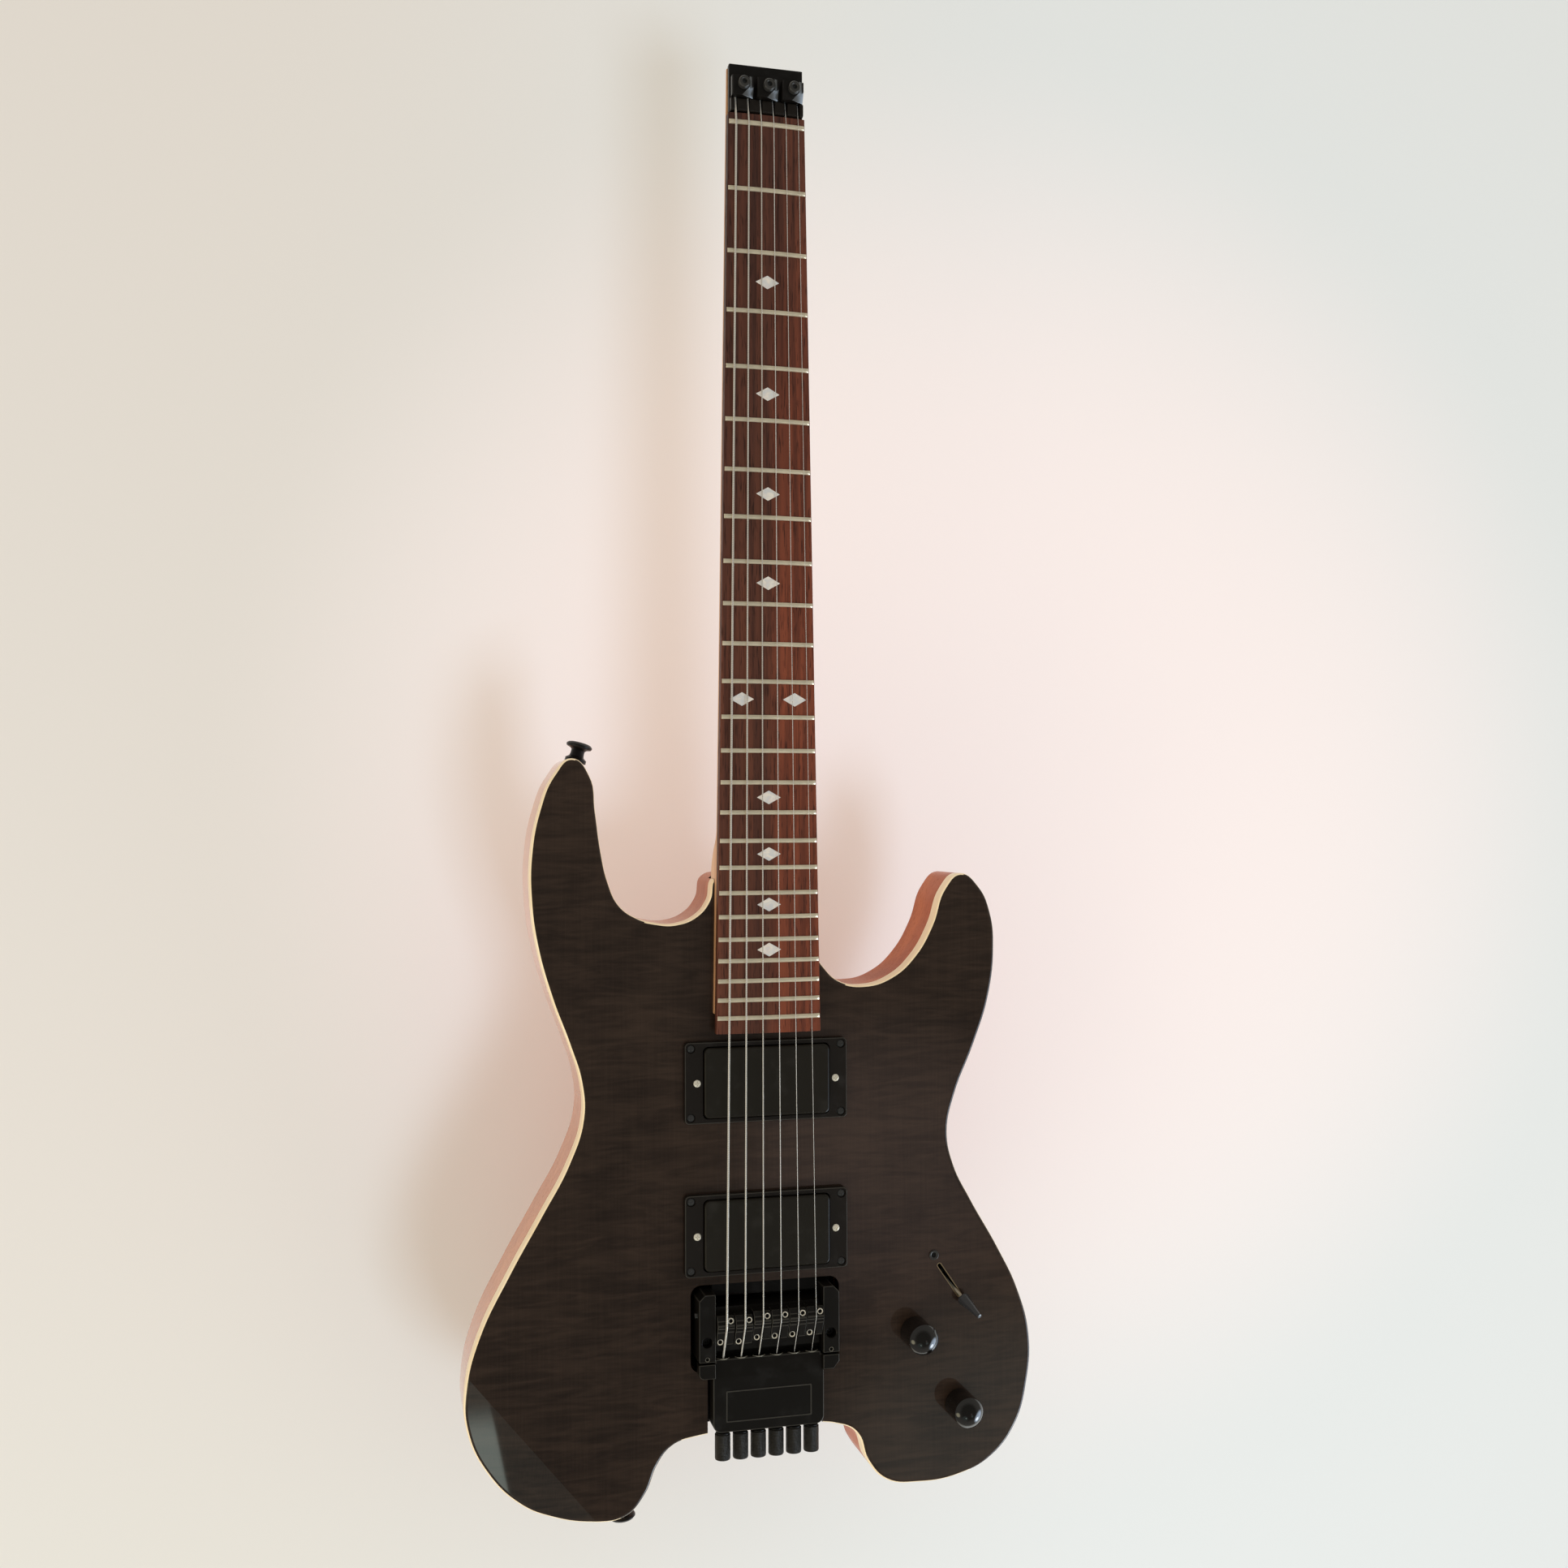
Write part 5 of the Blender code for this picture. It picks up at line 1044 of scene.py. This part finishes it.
def make_tail_block():
    """The tremolo's carriage and tail, one casting with a creased top and two ears."""
    half = 0.0292
    profile = [
        (0.0070, 0.0300), (0.0070, 0.0460), (-0.0165, 0.0460), (-0.0165, 0.0410),
        (-0.0223, 0.0410), (-0.0223, 0.0375), (-0.0125, 0.0375), (-0.0075, 0.0416),
        (0.0030, 0.0416), (0.0030, 0.0300),
    ]
    casting = with_edges(plate("tremolo_carriage", profile, -half, half, ALONG_X), BRIDGE_BLACK)
    wide, ear_front = 0.0307, -0.0216
    rim = rounded_rectangle((-wide, wide), (-0.0590, ear_front), 0.0045, 8)
    outline = [(wide, ear_front), (half, ear_front), (half, -0.0203), (-half, -0.0203),
               (-half, ear_front), (-wide, ear_front)] + rim[len(rim) // 2:]
    tail = with_edges(plate("tail", outline, 0.0370, 0.0495), BRIDGE_BLACK)
    above, ahead = 0.0545, -0.0193
    drop = 0.0012 / 0.0104 * (ahead + 0.0307)
    crease = [(-0.0307, above), (-0.0307, 0.0495), (ahead, 0.0495 - drop), (ahead, above)]
    carve(tail, plate("crease", crease, -0.035, 0.035, ALONG_X))
    round_edges(tail, 0.0006, lambda at, run, fold: fold > 40 and at.z > 0.0482, 2, 1)
    weld(casting, tail)
    ears = {
        -1: [(-0.0298, ear_front), (-0.0388, ear_front)] + [
            (-0.0388 + 0.003 - 0.003 * cos(pi * i / 16), -0.0293 + 0.003
             - 0.003 * sin(pi * i / 16)) for i in range(9)] + [(-0.0298, -0.0293)],
        1: [(0.0298, ear_front), (0.0388, ear_front), (0.0388, -0.0254), (0.0357, -0.0293),
            (0.0298, -0.0293)],
    }
    for outline in ears.values():
        ear = with_edges(plate("ear", outline, 0.0455, 0.0518), BRIDGE_BLACK)
        round_edges(ear, 0.0004, lambda at, run, fold: fold > 30 and at.z > 0.0517, 2, 1)
        weld(casting, ear)
    for index in range(6):
        x = saddle_x(index)
        carve(casting, rod("bore", (x, -0.0180, BORE_Z), (x, -0.0545, BORE_Z), 0.0032, 28),
              rod("rod_hole", (x, -0.0525, BORE_Z), (x, -0.061, BORE_Z), 0.0022, 24))
    for side in (-1, 1):
        carve(casting, rod("pin_socket", (side * 0.0237, 0.0026, 0.0438),
                           (side * 0.0312, 0.0026, 0.0438), 0.0017, 24))
    finish(casting, BRIDGE_BLACK, "tremolo", ["tail_block"])
    make_tail_trim()


def make_tail_trim():
    """A thin frame on the tail's top, lighter as rubbed metal and painted highlight, and a lip over
    each string's way in.
    """
    outer = rounded_rectangle((-0.0237, 0.0237), (-0.0537, -0.0371), 0.0006, 3)
    inner = rounded_rectangle((-0.0230, 0.0230), (-0.0531, -0.0377), 0.0004, 3)
    panel = plate("tail_panel_frame", outer, 0.04945, 0.04968)
    carve(panel, plate("inside", inner, 0.049, 0.0505))
    finish(panel, EDGE_BLACK, "tremolo")
    leave_all()
    bpy.ops.mesh.primitive_torus_add(major_radius=0.0037, minor_radius=0.00032,
                                     major_segments=40, minor_segments=8,
                                     rotation=(pi / 2, 0, 0), location=(0, -0.0204, BORE_Z))
    lip = fresh("entry_lip")
    with shaping(lip):
        bpy.ops.mesh.bisect(plane_co=(0, 0, BORE_Z + 0.0016), plane_no=(0, 0, 1),
                            use_fill=True, clear_inner=True)
    # The lips' pale metal is a painted highlight on the edges of the string entries.
    for index in range(6):
        copy = copy_of(lip, "entry_lip_%d" % (6 - index), (saddle_x(index), 0, 0))
        finish(copy, WEAR_AND_HIGHLIGHT_EDGE, "tremolo")
    bpy.data.objects.remove(lip)


def make_saddles():
    set_screw = cup_screw("saddle_set_screw", 0.0016, 0.00105, 0.0013, NICKEL)
    for index in range(6):
        number = 6 - index
        x = saddle_x(index)
        shift = -SADDLE_SETBACK[index]
        bottom = 0.0463
        ridge = saddle_string_z(index) - STRING_RADII[index] - 0.0003
        shoulder = ridge - 0.0030
        rows = [
            (0.0055, bottom), (0.0055, shoulder), (0.0049, shoulder + 0.0006),
            (0.0031, ridge - 0.0009), (0.0010, ridge - 0.0003), (0.0006, ridge),
            (-0.0006, ridge), (-0.0009, ridge - 0.0005), (-0.0028, ridge - 0.0011),
            (-0.0031, ridge - 0.0017), (-0.0102, shoulder - 0.0014),
            (-0.0107, shoulder - 0.0020), (-0.0107, bottom),
        ]
        half = 0.0047
        saddle = plate("string_saddle_%d" % number, [(y + shift, z) for y, z in rows],
                       x - half, x + half, ALONG_X)
        with_edges(saddle, BRIDGE_BLACK)
        soften(saddle, 0.00024, 1, 20, edge_slot=1)
        carve(saddle, block("seam", (x - 0.006, shift - 0.00165, ridge - 0.0013),
                            (x + 0.006, shift - 0.00135, ridge + 0.002)))
        rear = -0.0127 + shift
        slope = (saddle_string_z(index) - 0.0465) / (shift + 0.0203)
        floor = ridge - slope * (shift - rear) - 0.0003
        trough = [(rear, floor), (rear, ridge + 0.002), (shift - 0.0007, ridge + 0.002),
                  (shift - 0.0007, ridge - 0.0007)]
        carve(saddle, plate("trough", trough, x - 0.0008, x + 0.0008, ALONG_X))
        front = [(shift + 0.0012, ridge + 0.002), (0.0065 + shift, ridge + 0.002),
                 (0.0065 + shift, shoulder - 0.0012), (shift + 0.0012, ridge - 0.0010)]
        carve(saddle, plate("front_split", front, x - 0.0005, x + 0.0005, ALONG_X))
        for screw_y, side, drop in ((0.0030, 1, 0.0009), (-0.0086, -1, 0.0037)):
            px, py = x + side * 0.0026, screw_y + shift
            top = ridge - drop
            carve(saddle, rod("well", (px, py, top - 0.0016), (px, py, ridge + 0.003), 0.00165,
                              28))
            screw = copy_of(set_screw, "saddle_screw_%d_%s" % (
                number, "front" if side > 0 else "rear"), (px, py, top - 0.0002))
            finish(screw, NICKEL, "saddle_unit_%d" % number)
        finish(saddle, BRIDGE_BLACK, "saddle_unit_%d" % number,
               ["saddle_%d" % number])
    bpy.data.objects.remove(set_screw)


def make_tuning_knobs():
    knob = turned("knob_blank", [
        (0.0018, 0.0), (0.0018, -0.0277), (0.0034, -0.0277), (0.0037, -0.0280),
        (0.0037, -0.0284), (0.0042, -0.0289), (0.0042, -0.0416), (0.0040, -0.0421),
        (0.0035, -0.0423), (0.0018, -0.0423)], (0, -0.0323, BORE_Z), (0, 1, 0), sides=56)
    for index in range(6):
        number = 6 - index
        copy = copy_of(knob, "knurled_knob_%d" % number, (saddle_x(index), 0, 0))
        finish(copy, KNURL, "tuner_%d" % number, ["tuning_knob_%d" % number])
    bpy.data.objects.remove(knob)


def make_springs():
    """Coils wound by a screw from the frame's wall to the carriage leg."""
    start, end, turns = -0.0117, 0.0022, 6
    for middle, label in ((-0.012, "bass"), (0.012, "treble")):
        leave_all()
        bpy.ops.mesh.primitive_circle_add(vertices=10, radius=0.0005)
        coil = fresh("compression_spring_" + label)
        with shaping(coil):
            bpy.ops.mesh.select_mode(type="VERT")
            bpy.ops.mesh.select_all(action="SELECT")
            bpy.ops.transform.translate(value=(0.0027, 0, 0))
        modified(coil, "SCREW", axis="Y", steps=24, render_steps=24, angle=2 * pi,
                 iterations=turns, screw_offset=(end - start) / turns,
                 use_merge_vertices=True, merge_threshold=0.000001)
        with shaping(coil):
            bpy.ops.mesh.fill_holes(sides=0)
            bpy.ops.mesh.select_all(action="SELECT")
            bpy.ops.mesh.normals_make_consistent(inside=False)
        coil.location = (middle, start, 0.0322)
        settle(coil)
        finish(coil, STEEL, ("guitar", "tremolo", (0, -0.0125, 0.0322), (0, 0.0030, 0.0322)),
               ["tremolo_spring_" + label])


# Strings

def eased(points, reach, steps=5):
    """The path with each corner rounded over the given reach."""
    path = [Vector(points[0])]
    for before, corner, after in zip(points, points[1:], points[2:]):
        before, corner, after = Vector(before), Vector(corner), Vector(after)
        back = min(reach, (before - corner).length * 0.45)
        ahead = min(reach, (after - corner).length * 0.45)
        first = corner + (before - corner).normalized() * back
        last = corner + (after - corner).normalized() * ahead
        for i in range(steps + 1):
            t = i / steps
            path.append(first * (1 - t) ** 2 + corner * 2 * t * (1 - t) + last * t * t)
    path.append(Vector(points[-1]))
    return path


def stepped(path):
    """The path with a point every 2 mm over the bridge, where the wire has to bend."""
    run = []
    for first, second in zip(path, path[1:]):
        run.append(first)
        for step in range(20):
            y = 0.018 - 0.002 * step
            if second.y + 0.0004 < y < first.y - 0.0004:
                run.append(first.lerp(second, (first.y - y) / (first.y - second.y)))
    run.append(path[-1])
    return run


def lay_wire(name, places, radius, paint, across, stands_for):
    curve = bpy.data.curves.new("wire", "CURVE")
    curve.dimensions = "3D"
    curve.bevel_depth = radius
    curve.bevel_resolution = 3
    curve.use_fill_caps = True
    spline = curve.splines.new("POLY")
    spline.points.add(len(places) - 1)
    for point, place in zip(spline.points, places):
        point.co = (*place, 1.0)
    wire = bpy.data.objects.new(name, curve)
    bpy.context.scene.collection.objects.link(wire)
    hold(wire)
    bpy.ops.object.convert(target="MESH")
    finish(bpy.context.object, paint, across, stands_for, smooth=60)


def make_strings():
    """Each string in four lengths, parted where it meets another moving piece."""
    for index in range(6):
        number = 6 - index
        radius = STRING_RADII[index]
        head_x, tail_x = nut_x(index), saddle_x(index)
        shift = -SADDLE_SETBACK[index]
        nut_z = 0.0540 - crown_drop(head_x) + radius
        points = [
            (head_x, 0.6710, 0.0507 + radius), (head_x, 0.6612, 0.0508 + radius),
            (head_x, SCALE_LENGTH, nut_z),
            (tail_x, shift, saddle_string_z(index)),
            (tail_x, -0.0203, 0.0465), (tail_x, -0.0260 + radius, 0.04514),
        ]
        run = stepped(eased(points, 0.0012))
        paint = WOUND_WIRE if number > 3 else PLAIN_WIRE
        saddle, jaw = "saddle_unit_%d" % number, "jaw_%d" % number
        lengths = (
            ("guitar_string", 0.0060, "guitar", "tremolo", 0.0125, 0.0062),
            ("string_crest", shift, "tremolo", saddle, 0.0058, shift + 0.0012),
            ("string_slope", -0.0203, saddle, "tremolo", shift - 0.0095, -0.0190),
            ("string_end", -0.0260, "tremolo", jaw, -0.0206, -0.0245),
        )
        first = 0
        for label, low, from_body, to_body, start, end in lengths:
            last = min(range(len(run)), key=lambda i: abs(run[i].y - low))
            lay_wire("%s_%d" % (label, number), run[first:last + 1], radius, paint,
                     (from_body, to_body, (0, start, 0.05), (0, end, 0.05)),
                     ["string_%d" % number])
            first = last


# Controls

def make_control_knobs():
    for name, (x, y) in POT_PLACES.items():
        profile = [(0.0079, 0.0426), (0.0083, 0.0430), (0.0083, 0.0586)]
        for step in range(12):
            slope = radians(54.5 - 4.8 * step)
            profile.append((0.0101 * sin(slope), 0.0527 + 0.0101 * cos(slope)))
        knob = turned(name + "_knob_shell", profile, (x, y, 0), sides=64)
        carve(knob, rod("bore", (x, y, 0.040), (x, y, 0.0569), 0.0034, 32))
        finish(knob, GLOSS_BLACK, name + "_control", [name + "_knob"])
        washer = turned(name + "_washer", [
            (0.0072, 0.04205), (0.0072, 0.04225), (0.0062, 0.0424), (0.0044, 0.0424)],
            (x, y, 0), sides=48)
        carve(washer, rod("hole", (x, y, 0.041), (x, y, 0.044), 0.0042, 32))
        finish(washer, DARK_SCREW, "guitar")


def make_selector():
    placing = selector_placing()
    tilt = Matrix.Translation((0, 0, 0.026)) @ Matrix.Rotation(radians(30), 4, "Y")
    lever = plate("selector_blade", rounded_rectangle((-0.0020, 0.0020), (-0.0007, 0.0007),
                                                      0.0003, 3), -0.0060, 0.0228)
    carve(lever, rod("pivot", (0, -0.003, 0), (0, 0.003, 0), 0.0014, 24))
    lever.matrix_world = placing @ tilt
    settle(lever)
    finish(lever, LEVER_STEEL, "selector_switch", ["selector_lever"])
    tip = turned("selector_cone", [
        (0.0030, 0.0231), (0.0035, 0.0235), (0.0035, 0.0244), (0.0033, 0.0248),
        (0.0014, 0.0380), (0.0013, 0.0383), (0.0014, 0.0386), (0.0013, 0.0389),
        (0.0007, 0.0391)], (0, 0, 0), sides=40)
    tip.matrix_world = placing @ tilt
    settle(tip)
    finish(tip, GREY_TIP, "selector_switch", ["selector_tip"])
    liner = plate("selector_slot_liner",
                  rounded_rectangle((-0.0117, 0.0117), (-0.00145, 0.00145), 0.0014, 6),
                  0.0405, 0.0419)
    carve(liner, plate("gap", rounded_rectangle((-0.0113, 0.0113), (-0.00105, 0.00105), 0.001,
                                                6), 0.040, 0.0425))
    liner.matrix_world = placing
    settle(liner)
    finish(liner, BRASS, "guitar")
    screw = cup_screw("selector_mount_screw", 0.0027, 0.0014, 0.0006, DARK_SCREW)
    screw.location = (0.0967, 0.0252, BODY_TOP + 0.0007)
    finish(settle(screw), DARK_SCREW, "guitar")


def make_jack():
    x, y, z = JACK_PLACE
    jack = turned("jack_socket", [
        (0.0055, -0.0290), (0.0055, -0.0018), (0.0085, -0.0018), (0.0085, -0.0006),
        (0.0079, 0.0), (0.0046, 0.0)], JACK_PLACE, (1, 0, 0))
    nut = rod("nut", (x - 0.0004, y, z), (x + 0.0014, y, z), 0.0066, 6)
    soften(nut, 0.0003, 2)
    weld(jack, nut)
    collar = turned("collar", [(0.0046, -0.001), (0.0046, 0.0020), (0.0042, 0.0023)],
                    JACK_PLACE, (1, 0, 0), sides=40)
    weld(jack, collar)
    carve(jack, rod("bore", (x - 0.026, y, z), (x + 0.01, y, z), 0.0035, 40))
    finish(jack, BLACK_METAL, "guitar", ["output_jack"])


def make_back_hardware():
    cover = plate("control_cover", curved_outline(grown(CAVITY_OUTLINE_MM, 4.5), 6),
                  0.0003, 0.0025)
    round_edges(cover, 0.0005, lambda at, run, fold: at.z < 0.0004 and fold > 40, 2)
    spots = [(0.0735, 0.0355), (0.1255, 0.0225), (0.1335, -0.0600), (0.0985, -0.0865),
             (0.0660, -0.0350)]
    finish(cover, BLACK_PLASTIC, "guitar", ["cavity_cover"])
    screw = cross_screw("cover_screw", 0.0021, 0.0005)
    upside_down = Matrix.Rotation(pi, 4, "X")
    for number, (x, y) in enumerate(spots, 1):
        copy = copy_of(screw, "cover_screw_%d" % number, (x, y, 0.0004), upside_down)
        finish(copy, DARK_SCREW, "guitar")
    bpy.data.objects.remove(screw)
    bolt = cross_screw("neck_bolt", 0.0042, 0.0006)
    for number, place in enumerate(NECK_SCREWS, 1):
        ferrule = turned("neck_ferrule_%d" % number, [
            (0.0064, 0.0011), (0.0064, 0.0004), (0.0060, 0.0001), (0.0052, 0.0001),
            (0.0044, 0.0007)], (*place, 0))
        finish(ferrule, DARK_SCREW, "guitar")
        copy = copy_of(bolt, "neck_bolt_%d" % number, (*place, 0.0008), upside_down)
        finish(copy, DARK_SCREW, "guitar")
    bpy.data.objects.remove(bolt)


def make_strap_buttons():
    for name, (base, direction) in STRAP_BUTTONS.items():
        button = turned(name + "_post", [
            (0.0058, -0.0006), (0.0058, 0.0012), (0.0050, 0.0018), (0.0040, 0.0026),
            (0.0037, 0.0040), (0.0037, 0.0060), (0.0046, 0.0068), (0.0066, 0.0074),
            (0.0071, 0.0082), (0.0071, 0.0088), (0.0062, 0.0098), (0.0045, 0.0103),
            (0.0030, 0.0104), (0.0024, 0.0096)], base, direction)
        finish(button, BLACK_METAL, "guitar", [name])
        screw = cross_screw(name + "_screw", 0.0022, 0.0008)
        screw.rotation_mode = "QUATERNION"
        screw.rotation_quaternion = Vector(direction).to_track_quat("Z", "Y")
        screw.location = Vector(base) + Vector(direction).normalized() * 0.0095
        settle(screw)
        finish(screw, DARK_SCREW, "guitar")


def finish_hidden_nodes():
    """Inner CAD parts keep their shape and get their own metal."""
    for name in ("truss_rod", "selector_frame", "volume_pot", "tone_pot", "volume_shaft",
                 "tone_shaft", "pivot_pin_bass", "pivot_pin_treble"):
        NODES[name].data.materials.clear()
        NODES[name].data.materials.append(STEEL)
    for number in range(1, 7):
        jaw = NODES["string_jaw_%d" % number]
        jaw.data.materials.clear()
        jaw.data.materials.append(STEEL)


# Camera, floor and light

def place_camera():
    camera = bpy.data.objects.new("camera", bpy.data.cameras.new("camera"))
    bpy.context.scene.collection.objects.link(camera)
    turn_x, turn_y, turn_z = CAMERA_TURN
    world_to_camera = (Matrix.Rotation(turn_z, 3, "Z") @ Matrix.Rotation(turn_y, 3, "Y")
                       @ Matrix.Rotation(turn_x, 3, "X"))
    camera.matrix_world = (Matrix.Translation(CAMERA_PLACE)
                           @ world_to_camera.transposed().to_4x4())
    camera.data.sensor_width = SENSOR_MM
    camera.data.lens = FOCAL_PIXELS * SENSOR_MM / PHOTO_PIXELS
    bpy.context.scene.camera = camera


def make_floor():
    leave_all()
    bpy.ops.mesh.primitive_plane_add(size=8, location=(0, 0, FLOOR_Z))
    floor = fresh("floor")
    paint = Paint("pale_floor", 0.9)
    paint.put("Specular IOR Level", 0.1)
    # The floor's colour paints light: a bright pinkish pool about the guitar, dimming to a greyer
    # rim on the left and a cooler one on the right.
    across, along = paint.axis("X") - 0.20, paint.axis("Y") - 0.30
    outer = (across * across + along * along).between(0.0, 0.27)
    side = paint.axis("X").between(-0.35, 0.30)
    low = paint.axis("Y").between(-0.30, 0.15, 1.0, 0.0)
    left = paint.mix(low, tint(223, 218, 210), tint(221, 219, 211))
    rim = paint.mix(side, left, tint(227, 231, 230))
    paint.put("Base Color", paint.mix(outer, tint(252, 241, 238), rim))
    floor.data.materials.append(paint.material)


def add_lamp(name, place, size, watts, color=(1, 1, 1)):
    lamp = bpy.data.objects.new(name, bpy.data.lights.new(name, "AREA"))
    lamp.data.size = size
    lamp.data.energy = watts
    lamp.data.color = color
    lamp.location = place
    aim = Vector((0, 0.15, 0)) - Vector(place)
    lamp.rotation_euler = aim.to_track_quat("-Z", "Y").to_euler()
    bpy.context.scene.collection.objects.link(lamp)
    return lamp


def light_studio():
    """A warm room with a cool key light; glossy surfaces see its window, wall and dark ceiling."""
    key = add_lamp("key_lamp", (0.31, -0.68, 2.4), 0.6, 20.5, (0.60, 0.79, 1.0))
    key.visible_glossy = False
    fill = add_lamp("warm_fill", (-1.55, -1.45, 1.00), 1.6, 15, (1.0, 0.90, 0.72))
    fill.visible_glossy = False
    world = bpy.data.worlds.new("studio")
    world.use_nodes = True
    room = Recipe(world.node_tree)
    toward = room.node("ShaderNodeTexCoord", output="Generated")

    def facing(x, y, z):
        return room.node("ShaderNodeVectorMath", {"operation": "DOT_PRODUCT"},
                         {0: toward, 1: (x, y, z)}, "Value")

    ceiling = facing(0, 0, 1).between(0.45, 0.80)
    far = facing(0, 1, 0).between(-0.4, 0.5)
    wall = room.mix(far, (0.24, 0.23, 0.21, 1), (0.26, 0.245, 0.22, 1))
    shine = room.mix(ceiling, wall, (0.08, 0.073, 0.062, 1))
    glow = facing(0.30, -0.21, 0.93).between(0.993, 0.9998)
    shine = room.mix(glow, shine, (0.42, 0.33, 0.31, 1))
    slope = facing(-0.30, -0.60, 0.74).between(0.95, 0.985)
    shine = room.mix(slope, shine, (0.22, 0.26, 0.24, 1))
    low = facing(0.36, -0.40, 0.845).between(0.990, 0.9995)
    shine = room.mix(low, shine, (0.34, 0.40, 0.38, 1))
    window = facing(0.851, -0.479, 0.213).between(0.88, 0.97)
    shine = room.mix(window, shine, (2.5, 3.0, 3.7, 1))
    sky = facing(0.744, -0.617, 0.263).between(0.985, 0.998)
    shine = room.mix(sky, shine, (8.0, 8.8, 9.6, 1))
    card = (facing(-0.205, -0.565, 0.80).between(0.9978, 0.9990)
            * facing(-0.93103, -0.15756, -0.32917).between(-0.0004, 0.0006)
            * facing(0, -1, 0).between(0.546, 0.564, 0.08, 1.0))
    shine = room.mix(card, shine, (2.7, 3.2, 2.9, 1))
    cream = facing(-0.86, -0.33, 0.36).between(0.955, 0.985)
    shine = room.mix(cream, shine, (2.2, 2.0, 1.4, 1))
    mirrored = room.node("ShaderNodeLightPath", output="Is Glossy Ray")
    seen = room.node("ShaderNodeLightPath", output="Is Camera Ray")
    plain = room.mix(seen, (0.82, 0.765, 0.70, 1), (0.86, 0.85, 0.83, 1))
    room.feed(room.tree.nodes["Background"].inputs["Color"], room.mix(mirrored, plain, shine))
    bpy.context.scene.world = world
    bpy.context.scene.view_settings.view_transform = "Standard"


place_camera()
make_body()
make_neck()
make_board()
make_headpiece()
make_pickups()
make_bridge_frame()
make_tail_block()
make_saddles()
make_tuning_knobs()
make_springs()
make_strings()
make_control_knobs()
make_selector()
make_jack()
make_back_hardware()
make_strap_buttons()
finish_hidden_nodes()
make_floor()
light_studio()
leave_all()
